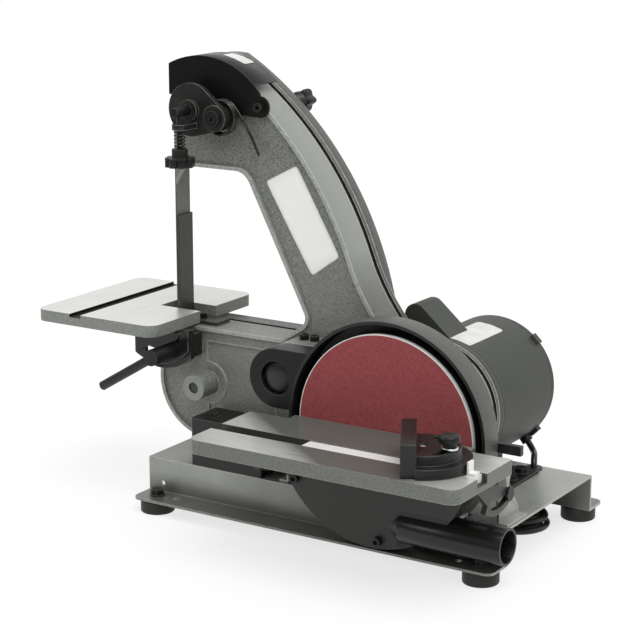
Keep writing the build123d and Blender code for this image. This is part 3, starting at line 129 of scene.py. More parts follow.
FLOOR_X, FLOOR_Y = (-3.0, 3.0), (-1.5, 4.0)
FLOOR_GLOW = 0.72
floor_x, floor_y = np.meshgrid(np.linspace(*FLOOR_X, 9), np.linspace(*FLOOR_Y, 9))
floor = skin("studio_floor", np.stack([floor_x, floor_y, 0 * floor_x], axis=-1), around=False, weld=0.0)
floor_paper = new_material("floor_paper", (0.9, 0.9, 0.9), roughness=0.9, shine=0.0)
paper_tree = floor_paper.node_tree
paper_rays = paper_tree.nodes.new("ShaderNodeLightPath").outputs
paper_seen = worked(paper_tree, "MAXIMUM", paper_rays["Is Camera Ray"], paper_rays["Is Glossy Ray"],
                    paper_rays["Is Transmission Ray"])
show_white(paper_tree, worked(paper_tree, "MULTIPLY", paper_seen, FLOOR_GLOW), "Principled BSDF",
           "ShaderNodeEmission", "Material Output")
floor.data.materials.append(floor_paper)

ROOM_DARK, ROOM_TOP, ROOM_BACK = 0.16, 0.72, 0.72
room = bpy.data.worlds.new("studio_room")
room.use_nodes = True
bpy.context.scene.world = room
room_tree = room.node_tree
room_split = room_tree.nodes.new("ShaderNodeSeparateXYZ")
wire(room_tree, (room_tree.nodes.new("ShaderNodeTexCoord").outputs["Generated"], room_split.inputs["Vector"]))
room_top = ranged(room_tree, room_split.outputs["Z"], 0.1, 0.9, ROOM_DARK, ROOM_DARK + ROOM_TOP)
room_back = ranged(room_tree, room_split.outputs["Y"], -0.25, 0.45, 0.0, ROOM_BACK)
room_above = ranged(room_tree, room_split.outputs["Z"], -0.15, 0.0)
room_tone = worked(room_tree, "ADD", worked(room_tree, "MULTIPLY", room_back, room_above), room_top)
room_light = room_tree.nodes["Background"].inputs
wire(room_tree, (WHITE, room_light["Color"]),
     (worked(room_tree, "MINIMUM", room_tone, 1.0), room_light["Strength"]))
room_seen = room_tree.nodes.new("ShaderNodeLightPath").outputs["Is Camera Ray"]
show_white(room_tree, room_seen, "Background", "ShaderNodeBackground", "World Output")

for lamp_name, lamp_from, lamp_power, lamp_spread in (
        ("high_lamp", (0.6, -0.45, 1.4), 1.5, 40.0),
        ("left_lamp", (-1.1, -1.0, 0.8), 0.5, 25.0)):
    lamp_data = bpy.data.lights.new(lamp_name, "SUN")
    lamp_data.energy = lamp_power
    lamp_data.angle = math.radians(lamp_spread)
    lamp = new_object(lamp_name, lamp_data)
    lamp.rotation_euler = Vector(lamp_from).to_track_quat("Z", "Y").to_euler()

camera_data = bpy.data.cameras.new("photo_camera")
camera_data.lens = 109.24
camera_data.sensor_width = 36.0
camera = new_object("photo_camera", camera_data)
camera.location = (1.0922, -1.6825, 0.7134)
camera_aim = Vector((0.0653, -0.0605, 0.2414)) - camera.location
camera.rotation_euler = camera_aim.to_track_quat("-Z", "Y").to_euler()
bpy.context.scene.camera = camera
bpy.context.scene.view_settings.view_transform = "Standard"


# Base channel: bent sheet steel with two flanges, sprayed light silver grey, worn at its bends with a painted
# highlight there, and with painted shade on its flange tops, the foot and right of its front wall and the
# left of its deck.
# The mottle and the worn edges with their painted highlight are shared by the other sprayed, moulded and
# drawn surfaces.
FLOAT, COLOUR = "NodeSocketFloat", "NodeSocketColor"


def node_group(name, inputs, outputs):
    """Shader group with named sockets: hands back the tree, its input node and its output node."""
    tree = bpy.data.node_groups.new(name, "ShaderNodeTree")
    for way, sockets in (("INPUT", inputs), ("OUTPUT", outputs)):
        for socket, kind in sockets:
            tree.interface.new_socket(name=socket, in_out=way, socket_type=kind)
    return tree, tree.nodes.new("NodeGroupInput"), tree.nodes.new("NodeGroupOutput")


def mixed(tree, kind, factor, first, second):
    """Colours (RGBA) or numbers (FLOAT) mixed by a factor: hands back the result socket."""
    mix = tree.nodes.new("ShaderNodeMix")
    mix.data_type = kind
    sort = "VALUE" if kind == "FLOAT" else kind
    ends = [socket for socket in mix.inputs if socket.name in ("A", "B") and socket.type == sort]
    wire(tree, (factor, mix.inputs[0]), (first, ends[0]), (second, ends[1]))
    return [socket for socket in mix.outputs if socket.type == sort][0]


def vectors(tree, operation, *given):
    """Vectors joined in one step: hands back the vector, or the number where the step gives one."""
    node = tree.nodes.new("ShaderNodeVectorMath")
    node.operation = operation
    wire(tree, *zip(given, node.inputs))
    return node.outputs["Value" if operation in ("DOT_PRODUCT", "LENGTH") else "Vector"]


def placed(tree):
    """Place of each surface point in the piece's own coordinates."""
    return tree.nodes.new("ShaderNodeTexCoord").outputs["Object"]


def noise(tree, scale, detail=3.0, place=None):
    """Noise over the piece's own coordinates or over another place: hands back its number socket."""
    node = tree.nodes.new("ShaderNodeTexNoise")
    wire(tree, (scale, node.inputs["Scale"]), (detail, node.inputs["Detail"]),
         (placed(tree) if place is None else place, node.inputs["Vector"]))
    return node.outputs["Fac"]


FINISH_IN = [("Light", COLOUR), ("Dark", COLOUR), ("Smooth", FLOAT), ("Rough", FLOAT)]
FINISH_OUT = [("Color", COLOUR), ("Roughness", FLOAT), ("Height", FLOAT)]


def close_finish(tree, start, end, share, height, gloss_ends=(0.0, 1.0)):
    """End a finish group: one share runs its colour from dark to light and its gloss from smooth to rough."""
    given = start.outputs
    gloss = ranged(tree, share, *gloss_ends, given["Smooth"], given["Rough"])
    wire(tree, (mixed(tree, "RGBA", share, given["Dark"], given["Light"]), end.inputs["Color"]),
         (gloss, end.inputs["Roughness"]), (height, end.inputs["Height"]))


mottle, mottle_in, mottle_out = node_group(
    "mottled_skin", FINISH_IN + [("Patch", FLOAT), ("Grain", FLOAT)], FINISH_OUT)
mottle_share = ranged(mottle, noise(mottle, mottle_in.outputs["Patch"], 4.0), 0.3, 0.7)
close_finish(mottle, mottle_in, mottle_out, mottle_share, noise(mottle, mottle_in.outputs["Grain"]))

# Worn edges with a painted highlight: a second colour along convex and hollow edges alike, standing for wear
# and for light caught on the edges.
wear_and_sheen, wear_and_sheen_in, wear_and_sheen_out = node_group("worn_and_highlit_edges", [("Radius", FLOAT), ("Amount", FLOAT)], [("Mask", FLOAT)])
edge_round = wear_and_sheen.nodes.new("ShaderNodeBevel")
edge_round.samples = 6
edge_turn = vectors(wear_and_sheen, "DOT_PRODUCT", edge_round.outputs["Normal"],
                    wear_and_sheen.nodes.new("ShaderNodeNewGeometry").outputs["True Normal"])
edge_near = ranged(wear_and_sheen, edge_turn, 0.98, 0.88)
wear_and_sheen_break = ranged(wear_and_sheen, noise(wear_and_sheen, 160.0), 0.3, 0.55, 0.4, 1.0)
wire(wear_and_sheen,
     (wear_and_sheen_in.outputs["Radius"], edge_round.inputs["Radius"]),
     (worked(wear_and_sheen, "MULTIPLY", edge_near, wear_and_sheen_break, wear_and_sheen_in.outputs["Amount"]), wear_and_sheen_out.inputs["Mask"]))


def add_group(material, group, values):
    """Put a group in a material with its own values: hands back its output sockets."""
    effect = material.node_tree.nodes.new("ShaderNodeGroup")
    effect.node_tree = group
    for name, value in values.items():
        socket = effect.inputs[name]
        socket.default_value = (*value, 1.0) if socket.type == "RGBA" else value
    return effect.outputs


def wire_finish(material, colour, roughness, height, strength, depth):
    """Lead a finish to the shader: colour, roughness, and height through a bump of a given depth."""
    shader = material.node_tree.nodes["Principled BSDF"]
    bump = material.node_tree.nodes.new("ShaderNodeBump")
    wire(material.node_tree, (strength, bump.inputs["Strength"]), (depth, bump.inputs["Distance"]),
         (colour, shader.inputs["Base Color"]), (roughness, shader.inputs["Roughness"]),
         (height, bump.inputs["Height"]), (bump.outputs["Normal"], shader.inputs["Normal"]))


def overlay(material, mask, colour, roughness, metal=None):
    """Mix a second colour, roughness and metal share into a material where a mask is one."""
    tree = material.node_tree
    layers = [("Base Color", "RGBA", (*colour, 1.0)), ("Roughness", "FLOAT", roughness)]
    if metal is not None:
        layers.append(("Metallic", "FLOAT", metal))
    for socket, kind, value in layers:
        target = tree.nodes["Principled BSDF"].inputs[socket]
        under = target.links[0].from_socket if target.links else target.default_value
        wire(tree, (mixed(tree, kind, mask, under, value), target))


def finished(name, group, dark, light, smooth, rough, strength, depth, shine=0.5, metal=0.0, **own):
    """Material of one finish group: its two colours, its gloss, its own values, and its height as a bump."""
    material = new_material(name, light, shine=shine, metal=metal)
    values = {"Light": light, "Dark": dark, "Smooth": smooth, "Rough": rough, **own}
    finish = add_group(material, group, values)
    wire_finish(material, finish["Color"], finish["Roughness"], finish["Height"], strength, depth)
    return material


GRAIN_DEPTH = 0.0004


def mottled(name, dark, light, smooth, rough, patch=30.0, grain=900.0, strength=0.12, metal=0.0, shine=0.5):
    """Surface with faint patches in tone and gloss and a fine grain in relief."""
    return finished(name, mottle, dark, light, smooth, rough, strength, GRAIN_DEPTH, shine, metal,
                    Patch=patch, Grain=grain)


def wear_and_highlight_edges(material, colour, roughness, radius=0.0014, amount=0.7):
    """Wear a paint to a second colour along its edges, hollow ones too: wear and a painted highlight."""
    mask = add_group(material, wear_and_sheen, {"Radius": radius, "Amount": amount})["Mask"]
    overlay(material, mask, colour, roughness)


def dress(material, *names, edge=0.0, segments=2):
    """Give one material to CAD nodes and, where asked, round their sharp edges by a small radius."""
    for name in names:
        part = nodes[name]
        part.data.materials.clear()
        part.data.materials.append(material)
        if edge:
            part.modifiers.new("joined_faces", "WELD").merge_threshold = 0.00002
            bevel = part.modifiers.new("eased_edges", "BEVEL")
            bevel.width = edge
            bevel.segments = segments
            bevel.limit_method = "ANGLE"
            bevel.angle_limit = math.radians(32.0)
            bevel.use_clamp_overlap = True
            bevel.harden_normals = True


def measure(tree, what):
    """One number at each surface point: X, Y or Z of its place, NX, NY or NZ of its facing,
    or its distance from a line along Y through a point."""
    place = tree.nodes.new("ShaderNodeTexCoord").outputs
    if not isinstance(what, str):
        reach = vectors(tree, "SUBTRACT", place["Object"], tuple(what))
        return vectors(tree, "LENGTH", vectors(tree, "MULTIPLY", reach, (1.0, 0.0, 1.0)))
    split = tree.nodes.new("ShaderNodeSeparateXYZ")
    wire(tree, (place["Normal" if what[0] == "N" else "Object"], split.inputs["Vector"]))
    return split.outputs[what[-1]]


def where(material, *limits):
    """Mask that is one where each measure lies between its two limits: None leaves a side open."""
    tree = material.node_tree
    tests = [worked(tree, compare, measure(tree, what), float(value))
             for what, low, high in limits
             for compare, value in (("GREATER_THAN", low), ("LESS_THAN", high)) if value is not None]
    return worked(tree, "MULTIPLY", *tests)


BASE_PAINTED_SHADE = (0.115, 0.12, 0.107)
FLANGE_TOP, DECK_DROP = 0.0045, 0.004
WALL_FOOT = (0.026, 0.006)
base_paint = mottled("base_paint", (0.27, 0.28, 0.26), (0.34, 0.35, 0.325), 0.26, 0.38, patch=22.0,
                     metal=0.35)
base_low, base_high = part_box("base_channel")
base_tree = base_paint.node_tree
base_x, base_z = measure(base_tree, "X"), measure(base_tree, "Z")


def base_at(share):
    """X at a share of the base's length from its left end."""
    return base_low.x + share * (base_high.x - base_low.x)


# Painted shade: the flange tops, the front wall towards its right end and its foot, and the deck towards its
# left end are darkened to the base's shade colour.
flange_shadow = where(base_paint, ("Z", None, base_low.z + FLANGE_TOP), ("NZ", 0.5, None))
overlay(base_paint, flange_shadow, BASE_PAINTED_SHADE, 0.28)
wall_face = where(base_paint, ("NY", None, -0.6))
wall_right_shade = ranged(base_tree, base_x, base_at(0.2), base_at(0.6), 0.0, 0.8)
wall_foot_shade = ranged(base_tree, base_z, base_low.z + WALL_FOOT[0], base_low.z + WALL_FOOT[1], 0.0, 0.8)
wall_shade = worked(base_tree, "MAXIMUM", wall_right_shade, wall_foot_shade)
overlay(base_paint, worked(base_tree, "MULTIPLY", wall_face, wall_shade), BASE_PAINTED_SHADE, 0.28)
deck_face = where(base_paint, ("NZ", 0.6, None), ("Z", base_high.z - DECK_DROP, None))
deck_left_shade = ranged(base_tree, base_x, base_at(0.55), base_at(0.15), 0.0, 0.75)
overlay(base_paint, worked(base_tree, "MULTIPLY", deck_face, deck_left_shade), BASE_PAINTED_SHADE, 0.24)
wear_and_highlight_edges(base_paint, (0.55, 0.56, 0.53), 0.3, radius=0.0016, amount=0.7)
dress(base_paint, "base_channel", edge=0.0011, segments=3)


# Rubber feet: moulded black cups, turned from one rounded profile about each bolt.
# Each is clamped under a flange by a black hexagon bolt with a washer.
def turned(profile, middle, axis, turns=64):
    """Grid of a turned shape: each (radius, height) of a profile carried round an axis through a middle."""
    angle = np.linspace(0.0, 2 * np.pi, turns, endpoint=False)
    radius, height = np.array(profile, float).T
    along = np.array(axis, float)
    side = np.cross(along, (0.0, 0.0, 1.0) if abs(along[2]) < 0.9 else (1.0, 0.0, 0.0))
    side = side / np.linalg.norm(side)
    other = np.cross(along, side)
    spoke = np.cos(angle)[:, None] * side + np.sin(angle)[:, None] * other
    return np.array(middle) + radius[:, None, None] * spoke + height[:, None, None] * along


def rounded(radius, low, high, edge, steps=6):
    """Profile of a disc with rounded rims, from the lower middle to the upper middle."""
    bend = np.linspace(0.0, np.pi / 2, steps)
    below = np.stack([radius - edge + edge * np.sin(bend), low + edge - edge * np.cos(bend)], axis=-1)
    above = np.stack([radius - edge + edge * np.cos(bend), high - edge + edge * np.sin(bend)], axis=-1)
    return np.concatenate([[(0.0, low)], below, above, [(0.0, high)]])


def finish_piece(piece, material, body, slot, *replaced):
    """Give a new piece its material and the body it moves with, and hide the nodes that it stands for; its
    slot is not used.
    """
    piece.data.materials.append(material)
    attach(piece, body)
    if replaced:
        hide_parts(*replaced)


black_rubber = mottled("black_rubber", (0.012, 0.013, 0.011), (0.026, 0.027, 0.024), 0.45, 0.62, shine=0.3)
FOOT_RADIUS = 0.01875
FOOT_EDGE = 0.0018
foot_low, foot_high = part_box("rubber_feet")
foot_profile = rounded(FOOT_RADIUS, 0.0, foot_high.z - foot_low.z, FOOT_EDGE)
foot_places = [(x, y, foot_low.z)
               for x in (foot_low.x + FOOT_RADIUS, foot_high.x - FOOT_RADIUS)
               for y in (foot_low.y + FOOT_RADIUS, foot_high.y - FOOT_RADIUS)]
for number, place in enumerate(foot_places):
    foot = skin("rubber_foot_%d" % (number + 1), turned(foot_profile, place, (0, 0, 1)))
    finish_piece(foot, black_rubber, "frame", "black_rubber", "rubber_feet")

black_oxide = mottled("black_oxide", (0.008, 0.009, 0.008), (0.022, 0.023, 0.021), 0.26, 0.4, metal=0.4,
                      shine=0.3)
wear_and_highlight_edges(black_oxide, (0.16, 0.165, 0.155), 0.35, amount=0.6)
dress(black_oxide, "hex_bolts", "socket_screws", "pivot_bolt", "upper_axle", edge=0.0005)


# Switch box: folded sheet steel in gloss black, standing on the deck in front of the arm.
# A moulded rocker sits in its end, and the lid's edges are worn bright with a painted highlight.
box_black = mottled("black_paint", (0.006, 0.0065, 0.0055), (0.012, 0.0125, 0.011), 0.2, 0.32, patch=18.0,
                    shine=0.35)
wear_and_highlight_edges(box_black, (0.2, 0.205, 0.19), 0.4, amount=0.6)
dress(box_black, "switch_box", edge=0.0008)
black_plastic = mottled("black_plastic", (0.006, 0.0065, 0.0055), (0.013, 0.0135, 0.012), 0.32, 0.46,
                        shine=0.32)
wear_and_highlight_edges(black_plastic, (0.08, 0.082, 0.076), 0.35, amount=0.6)
dress(black_plastic, "switch_rocker", edge=0.0006)


# Arm casting: cast iron in grey hammered paint, bolted down to the base beside the switch box.
# Its curved outer wall is sprayed smoother, carrying painted light on its right-facing side and painted shade
# low down, with a groove darkened as painted shade before the side cover,
# and the disc guard ring in front is grey outside and black inside.
disc_low, disc_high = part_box("sanding_disc")
SPINDLE_X = (disc_low.x + disc_high.x) / 2
SPINDLE_Z = (disc_low.z + disc_high.z) / 2
DISC_FACE_Y = disc_low.y
MM = 0.001


def at(x, y, z):
    """Point given in millimetres right of, behind and above the middle of the disc face."""
    return np.array([SPINDLE_X + x * MM, DISC_FACE_Y + y * MM, SPINDLE_Z + z * MM])


hammered, hammered_in, hammered_out = node_group("hammered_paint", FINISH_IN + [("Cell", FLOAT)], FINISH_OUT)
hammered_cell = hammered.nodes.new("ShaderNodeTexVoronoi")
hammered_cell.feature = "SMOOTH_F1"
wire(hammered, (0.6, hammered_cell.inputs["Smoothness"]), (placed(hammered), hammered_cell.inputs["Vector"]),
     (hammered_in.outputs["Cell"], hammered_cell.inputs["Scale"]))
hammered_dome = ranged(hammered, hammered_cell.outputs["Distance"], 0.12, 0.62)
hammered_speck = ranged(hammered, noise(hammered, 680.0), 0.3, 0.7)
hammered_tone = mixed(hammered, "FLOAT", 0.55, hammered_dome, hammered_speck)
close_finish(hammered, hammered_in, hammered_out, hammered_tone, hammered_tone, (0.1, 0.9))
HAMMER_DEPTH = 0.0005


def hammer_painted(name, dark, light):
    """Hammered paint: small rounded cells in relief, darker in their hollows."""
    return finished(name, hammered, dark, light, 0.24, 0.42, 0.9, HAMMER_DEPTH, 0.55, Cell=420.0)


SPINDLE = at(0, 0, 0)
LOWER_AXLE = at(-260.2, 0, 0)
RIM_FRONT_Y, WALL_START = at(0, 57, 0)[1], 0.0004
GROOVE_Y = (at(0, 98.8, 0)[1], at(0, 105.2, 0)[1])
GUARD_BACK_Y = at(0, 28.2, 0)[1]
GUARD_SIDE, GUARD_REACH = 0.1138, 0.12
BOSS_FRONT_Y, BOSS_RADIUS = at(0, 33, 0)[1], 0.0148
WALL_PAINTED_LIGHT, LOW_WALL_PAINTED_SHADE = (0.262, 0.272, 0.25), (0.085, 0.09, 0.078)
RING_GREY, RING_BLACK = (0.07, 0.074, 0.064), (0.006, 0.0065, 0.006)
STRIP_GREY, RIM_HIGHLIGHT_GREY = (0.062, 0.066, 0.056), (0.42, 0.43, 0.4)
GROOVE_SHADE_BLACK, BOSS_GREY = (0.016, 0.017, 0.015), (0.25, 0.26, 0.24)
WEB_FADE_Z = (at(0, 0, 230)[2], at(0, 0, 90)[2])
WALL_FADE_Z = (at(0, 0, 100)[2], at(0, 0, 165)[2])
cast_paint = hammer_painted("hammer_paint", (0.05, 0.054, 0.045), (0.258, 0.27, 0.24))
cast_tree = cast_paint.node_tree
# Painted light and shade: the outer wall's right-facing side is lightened high up and darkened low down.
outer_wall = where(cast_paint, ("NX", 0.12, None), ("NY", -0.5, 0.5),
                   ("Y", RIM_FRONT_Y + WALL_START, GROOVE_Y[0]))
for wall_tone, wall_ends in ((WALL_PAINTED_LIGHT, (0.0, 1.0)), (LOW_WALL_PAINTED_SHADE, (0.85, 0.0))):
    wall_fade = ranged(cast_tree, measure(cast_tree, "Z"), *WALL_FADE_Z, *wall_ends)
    overlay(cast_paint, worked(cast_tree, "MULTIPLY", outer_wall, wall_fade), wall_tone, 0.36)
overlay(cast_paint, where(cast_paint, ("Y", GROOVE_Y[1], None), ("NY", None, 0.5)), STRIP_GREY, 0.4)
# Painted light: the web's front is lightened towards its foot.
web_face = where(cast_paint, ("NY", None, -0.6))
web_foot_light = ranged(cast_tree, measure(cast_tree, "Z"), *WEB_FADE_Z, 0.0, 0.3)
overlay(cast_paint, worked(cast_tree, "MULTIPLY", web_face, web_foot_light), WALL_PAINTED_LIGHT, 0.36)
# Painted highlight: the rim's front face is lightened in broken streaks.
rim_highlight_face = where(cast_paint, ("Y", RIM_FRONT_Y - 0.004, RIM_FRONT_Y + 0.0006), ("NY", None, -0.4))
rim_shine = ranged(cast_tree, noise(cast_tree, 240.0), 0.3, 0.7, 0.35, 0.95)
overlay(cast_paint, worked(cast_tree, "MULTIPLY", rim_highlight_face, rim_shine), RIM_HIGHLIGHT_GREY, 0.32)
wear_and_highlight_edges(cast_paint, (0.5, 0.51, 0.48), 0.3, radius=0.003, amount=0.85)
# Painted shade: the groove before the side cover is darkened.
overlay(cast_paint, where(cast_paint, ("Y", *GROOVE_Y)), GROOVE_SHADE_BLACK, 0.6)
boss_face = where(cast_paint, (LOWER_AXLE, None, BOSS_RADIUS), ("Y", None, BOSS_FRONT_Y))
overlay(cast_paint, boss_face, BOSS_GREY, 0.4)
ring_face = where(cast_paint, (SPINDLE, None, GUARD_REACH), ("Y", None, GUARD_BACK_Y))
overlay(cast_paint, ring_face, RING_BLACK, 0.4)
ring_side = where(cast_paint, (SPINDLE, GUARD_SIDE, GUARD_REACH), ("Y", None, GUARD_BACK_Y),
                  ("NY", -0.6, None))
overlay(cast_paint, ring_side, RING_GREY, 0.4)
dress(cast_paint, "arm_casting", edge=0.0014)


# Arm plate: a thin blank plate of pale anodised aluminium, glued on the web of the arm.
# Its corners are rounded, and its edge is a little darker than its face.
def squared(angle, power):
    """Two coordinates round a square with rounded corners: the cosine and the sine, each raised to a power
    with its sign kept."""
    return [np.sign(wave) * np.abs(wave) ** power for wave in (np.cos(angle), np.sin(angle))]


def plate_grid(to_space, thick, corner, around=72):
    """Closed grid of a thin plate: a square with rounded corners, |u|^n + |v|^n = 1, grown from its middle,
    over the edge and back to the middle underneath; a function puts (u, v, height) in space."""
    angle = np.linspace(0.0, 2 * np.pi, around, endpoint=False)
    u, v = squared(angle, 2 / corner)
    size = np.array([0.0, 0.25, 0.5, 0.75, 0.97, 1.0, 1.0, 0.5, 0.0])[:, None]
    height = thick * np.array([1.0, 1.0, 1.0, 1.0, 1.0, 0.7, 0.0, 0.0, 0.0])[:, None]
    return to_space(size * u, size * v, height + 0 * u)


PLATE_THICK = 0.0006
PLATE_CORNERS = [at(-124, 60, 136), at(-90, 60, 160), at(-182, 60, 232), at(-143, 60, 252)]


def on_web(u, v, height):
    """Point between the plate's four corners, lifted forward from the web."""
    low_left, low_right, high_left, high_right = [corner[:, None, None] for corner in PLATE_CORNERS]
    low = low_left * (1 - u) / 2 + low_right * (1 + u) / 2
    high = high_left * (1 - u) / 2 + high_right * (1 + u) / 2
    flat = low * (1 - v) / 2 + high * (1 + v) / 2
    return np.moveaxis(flat - np.array([0.0, 1.0, 0.0])[:, None, None] * height, 0, -1)


pale_plate = mottled("pale_plate", (0.89, 0.9, 0.87), (0.95, 0.96, 0.93), 0.3, 0.42, patch=12.0, grain=2600.0,
                     strength=0.05)
wear_and_highlight_edges(pale_plate, (0.4, 0.41, 0.39), 0.4, amount=0.5)
arm_plate = skin("arm_plate", plate_grid(on_web, PLATE_THICK, 18.0))
finish_piece(arm_plate, pale_plate, "frame", "plain_aluminium")


# Dust chute: moulded black outlet of the belt side, pushed on the duct of the arm.
# Its round mouth has a thin rim with a little wear and a painted highlight, and is closed by a domed cap
# pushed into it.
chute_black = mottled("chute_black", (0.006, 0.0065, 0.0055), (0.013, 0.0135, 0.012), 0.34, 0.48, shine=0.25)
wear_and_highlight_edges(chute_black, (0.12, 0.124, 0.114), 0.35, radius=0.0016, amount=0.7)
dress(chute_black, "belt_dust_chute", edge=0.0009)
CAP_RADIUS, CAP_RIM, CAP_DOME, CAP_STEP = 0.0179, 0.0022, 0.0032, 0.0008
cap_turn = np.linspace(0.0, np.pi / 2, 10)
cap_dome = np.stack([0.93 * CAP_RADIUS * np.cos(cap_turn), CAP_RIM + CAP_STEP + CAP_DOME * np.sin(cap_turn)],
                    axis=-1)
cap_profile = np.concatenate([[(0.0, 0.0), (CAP_RADIUS, 0.0), (CAP_RADIUS, CAP_RIM)], cap_dome])
chute_cap = skin("chute_cap", turned(cap_profile, at(-132, 9, 37.5), (0.0, -1.0, 0.0)))
cap_black = mottled("cap_black", (0.012, 0.0126, 0.0113), (0.022, 0.023, 0.0207), 0.24, 0.36, shine=0.4)
finish_piece(chute_cap, cap_black, "frame", "black_plastic")


# Wheels, axle and platen: turned aluminium wheels on a ground axle, and a black steel platen
# with a foot that a socket screw holds on top of the casting.
ground, ground_in, ground_out = node_group(
    "ground_marks", FINISH_IN + [("Stretch", "NodeSocketVector")], FINISH_OUT)
ground_place = vectors(ground, "MULTIPLY", placed(ground), ground_in.outputs["Stretch"])
ground_streak = noise(ground, 1.0, 4.0, ground_place)
ground_tone = mixed(ground, "FLOAT", 0.3, ground_streak, noise(ground, 26.0))
close_finish(ground, ground_in, ground_out, ranged(ground, ground_tone, 0.32, 0.68), ground_streak)
GROUND_DEPTH = 0.0001


def ground_metal(name, dark, light, smooth, rough, stretch, metal=1.0, strength=0.15):
    """Ground or turned metal with fine marks drawn out along one way."""
    return finished(name, ground, dark, light, smooth, rough, strength, GROUND_DEPTH, metal=metal,
                    Stretch=stretch)


turned_aluminium = ground_metal("plain_aluminium", (0.5, 0.5, 0.49), (0.68, 0.68, 0.67), 0.22, 0.36,
                                (60.0, 1800.0, 60.0))
dress(turned_aluminium, "upper_wheel", "lower_wheel", "drive_wheel", edge=0.0006)
axle_steel = ground_metal("axle_steel", (0.05, 0.053, 0.046), (0.1, 0.105, 0.095), 0.35, 0.5,
                          (900.0, 60.0, 900.0))
dress(axle_steel, "lower_axle", "cover_studs", edge=0.0008)
dress(axle_steel, "motor_shaft")
platen_steel = ground_metal("platen_steel", (0.045, 0.049, 0.041), (0.075, 0.08, 0.069), 0.38, 0.52,
                            (700.0, 700.0, 40.0), metal=0.5)
dress(platen_steel, "platen", edge=0.0006)


# Sanding belt: a cloth loop over the three wheels, woven grey inside and coated with grit outside.
# Its ends meet in a slanted lap joint that shows on the straight run, and the paler cloth above it is a
# painted reflection.
BELT_MIDDLE = at(-160, 80, 110)
LAP_Z = at(0, 0, 226)[2]
LAP_SLANT, LAP_BAND, LAP_EDGE = 0.9, 0.008, 0.0006
belt_cloth = ground_metal("cloth_belt", (0.17, 0.178, 0.158), (0.26, 0.27, 0.245), 0.7, 0.85,
                          (1500.0, 1500.0, 160.0), metal=0.0, strength=0.4)
belt_tree = belt_cloth.node_tree
lap_line = worked(belt_tree, "ADD", worked(belt_tree, "MULTIPLY", measure(belt_tree, "Y"), -LAP_SLANT),
                  measure(belt_tree, "Z"))
lap_base = LAP_Z - LAP_SLANT * BELT_MIDDLE[1]
# Painted reflection: the cloth above the lap line is made paler.
for lap_start, lap_and_reflection_tone in ((lap_base, (0.5, 0.51, 0.48)), (lap_base + LAP_BAND, (0.38, 0.39, 0.36))):
    overlay(belt_cloth, ranged(belt_tree, lap_line, lap_start, lap_start + LAP_EDGE), lap_and_reflection_tone, 0.75)
belt_place = belt_tree.nodes.new("ShaderNodeTexCoord").outputs
belt_out = vectors(belt_tree, "SUBTRACT", belt_place["Object"], tuple(BELT_MIDDLE))
belt_facing = vectors(belt_tree, "DOT_PRODUCT", belt_out, belt_place["Normal"])
overlay(belt_cloth, worked(belt_tree, "GREATER_THAN", belt_facing, 0.0), (0.11, 0.055, 0.04), 0.9)
dress(belt_cloth, "sanding_belt")


# Tension arm: cast dish with the upper wheel's axle and a pivot hub, painted gloss black.
# The tracking knob's screw passes a lug at its front and tilts the axle.
arm_black = mottled("arm_black", (0.011, 0.0118, 0.0105), (0.024, 0.025, 0.022), 0.22, 0.36, shine=0.4)
wear_and_highlight_edges(arm_black, (0.3, 0.31, 0.285), 0.3, radius=0.0011, amount=0.85)
dress(arm_black, "tension_arm", edge=0.0009)
dress(black_plastic, "tracking_knob", edge=0.001)


# Springs: black steel wire wound round a mandrel, one about the pivot hub with a long leg on the web,
# one under the lug that keeps the tracking screw tight.
def wire_tube(path, normal, radius, sides=14):
    """Grid of a round wire: a circle carried along a path in the plane of its normal and binormal,
    drawn in to a rounded point at both ends."""
    tangent = np.gradient(path, axis=0)
    tangent = tangent / np.linalg.norm(tangent, axis=1, keepdims=True)
    normal = normal - np.sum(normal * tangent, axis=1, keepdims=True) * tangent
    normal = normal / np.linalg.norm(normal, axis=1, keepdims=True)
    binormal = np.cross(tangent, normal)
    angle = np.linspace(0.0, 2 * np.pi, sides, endpoint=False)[None, :, None]
    ring = np.cos(angle) * normal[:, None] + np.sin(angle) * binormal[:, None]
    row = np.pad(np.arange(len(path)), 2, mode="edge")
    slide = np.concatenate([[-0.5, -0.4], 0 * path[:, 0], [0.4, 0.5]])[:, None, None]
    share = np.concatenate([[0.0, 0.6], 1 + 0 * path[:, 0], [0.6, 0.0]])[:, None, None]
    return path[row, None] + radius * (slide * tangent[row, None] + share * ring[row])


spring_black = mottled("spring_black", (0.03, 0.032, 0.028), (0.075, 0.078, 0.07), 0.2, 0.32, patch=120.0,
                       metal=0.8, shine=0.5)
PIVOT = at(-229, 0, 298)
COIL_RADIUS, COIL_WIRE = 0.018, 0.0016
COIL_PITCH, COIL_TURNS = 0.0037, 2.75
COIL_FRONT_Y = at(0, 40.9, 0)[1]
COIL_END = math.radians(40.0)
LEG_LENGTH = 0.058
LEG_BOW = math.radians(16.0)
coil_angle = COIL_END + 2 * np.pi * COIL_TURNS * np.linspace(1.0, 0.0, 132)
coil_rise = COIL_FRONT_Y + COIL_PITCH * (coil_angle[0] - coil_angle) / (2 * np.pi)
coil_spoke = np.stack([np.cos(coil_angle), 0 * coil_angle, np.sin(coil_angle)], axis=-1)
coil_path = np.array([PIVOT[0], 0.0, PIVOT[2]]) + COIL_RADIUS * coil_spoke
coil_path[:, 1] = coil_rise
leg_run = np.linspace(0.0, 1.0, 26)[1:]
leg_heading = COIL_END - LEG_BOW * leg_run
leg_way = np.stack([np.sin(leg_heading), 0 * leg_run, -np.cos(leg_heading)], axis=-1)
leg_path = coil_path[-1] + LEG_LENGTH / len(leg_run) * np.cumsum(leg_way, axis=0)
leg_spoke = np.stack([np.cos(leg_heading), 0 * leg_run, np.sin(leg_heading)], axis=-1)
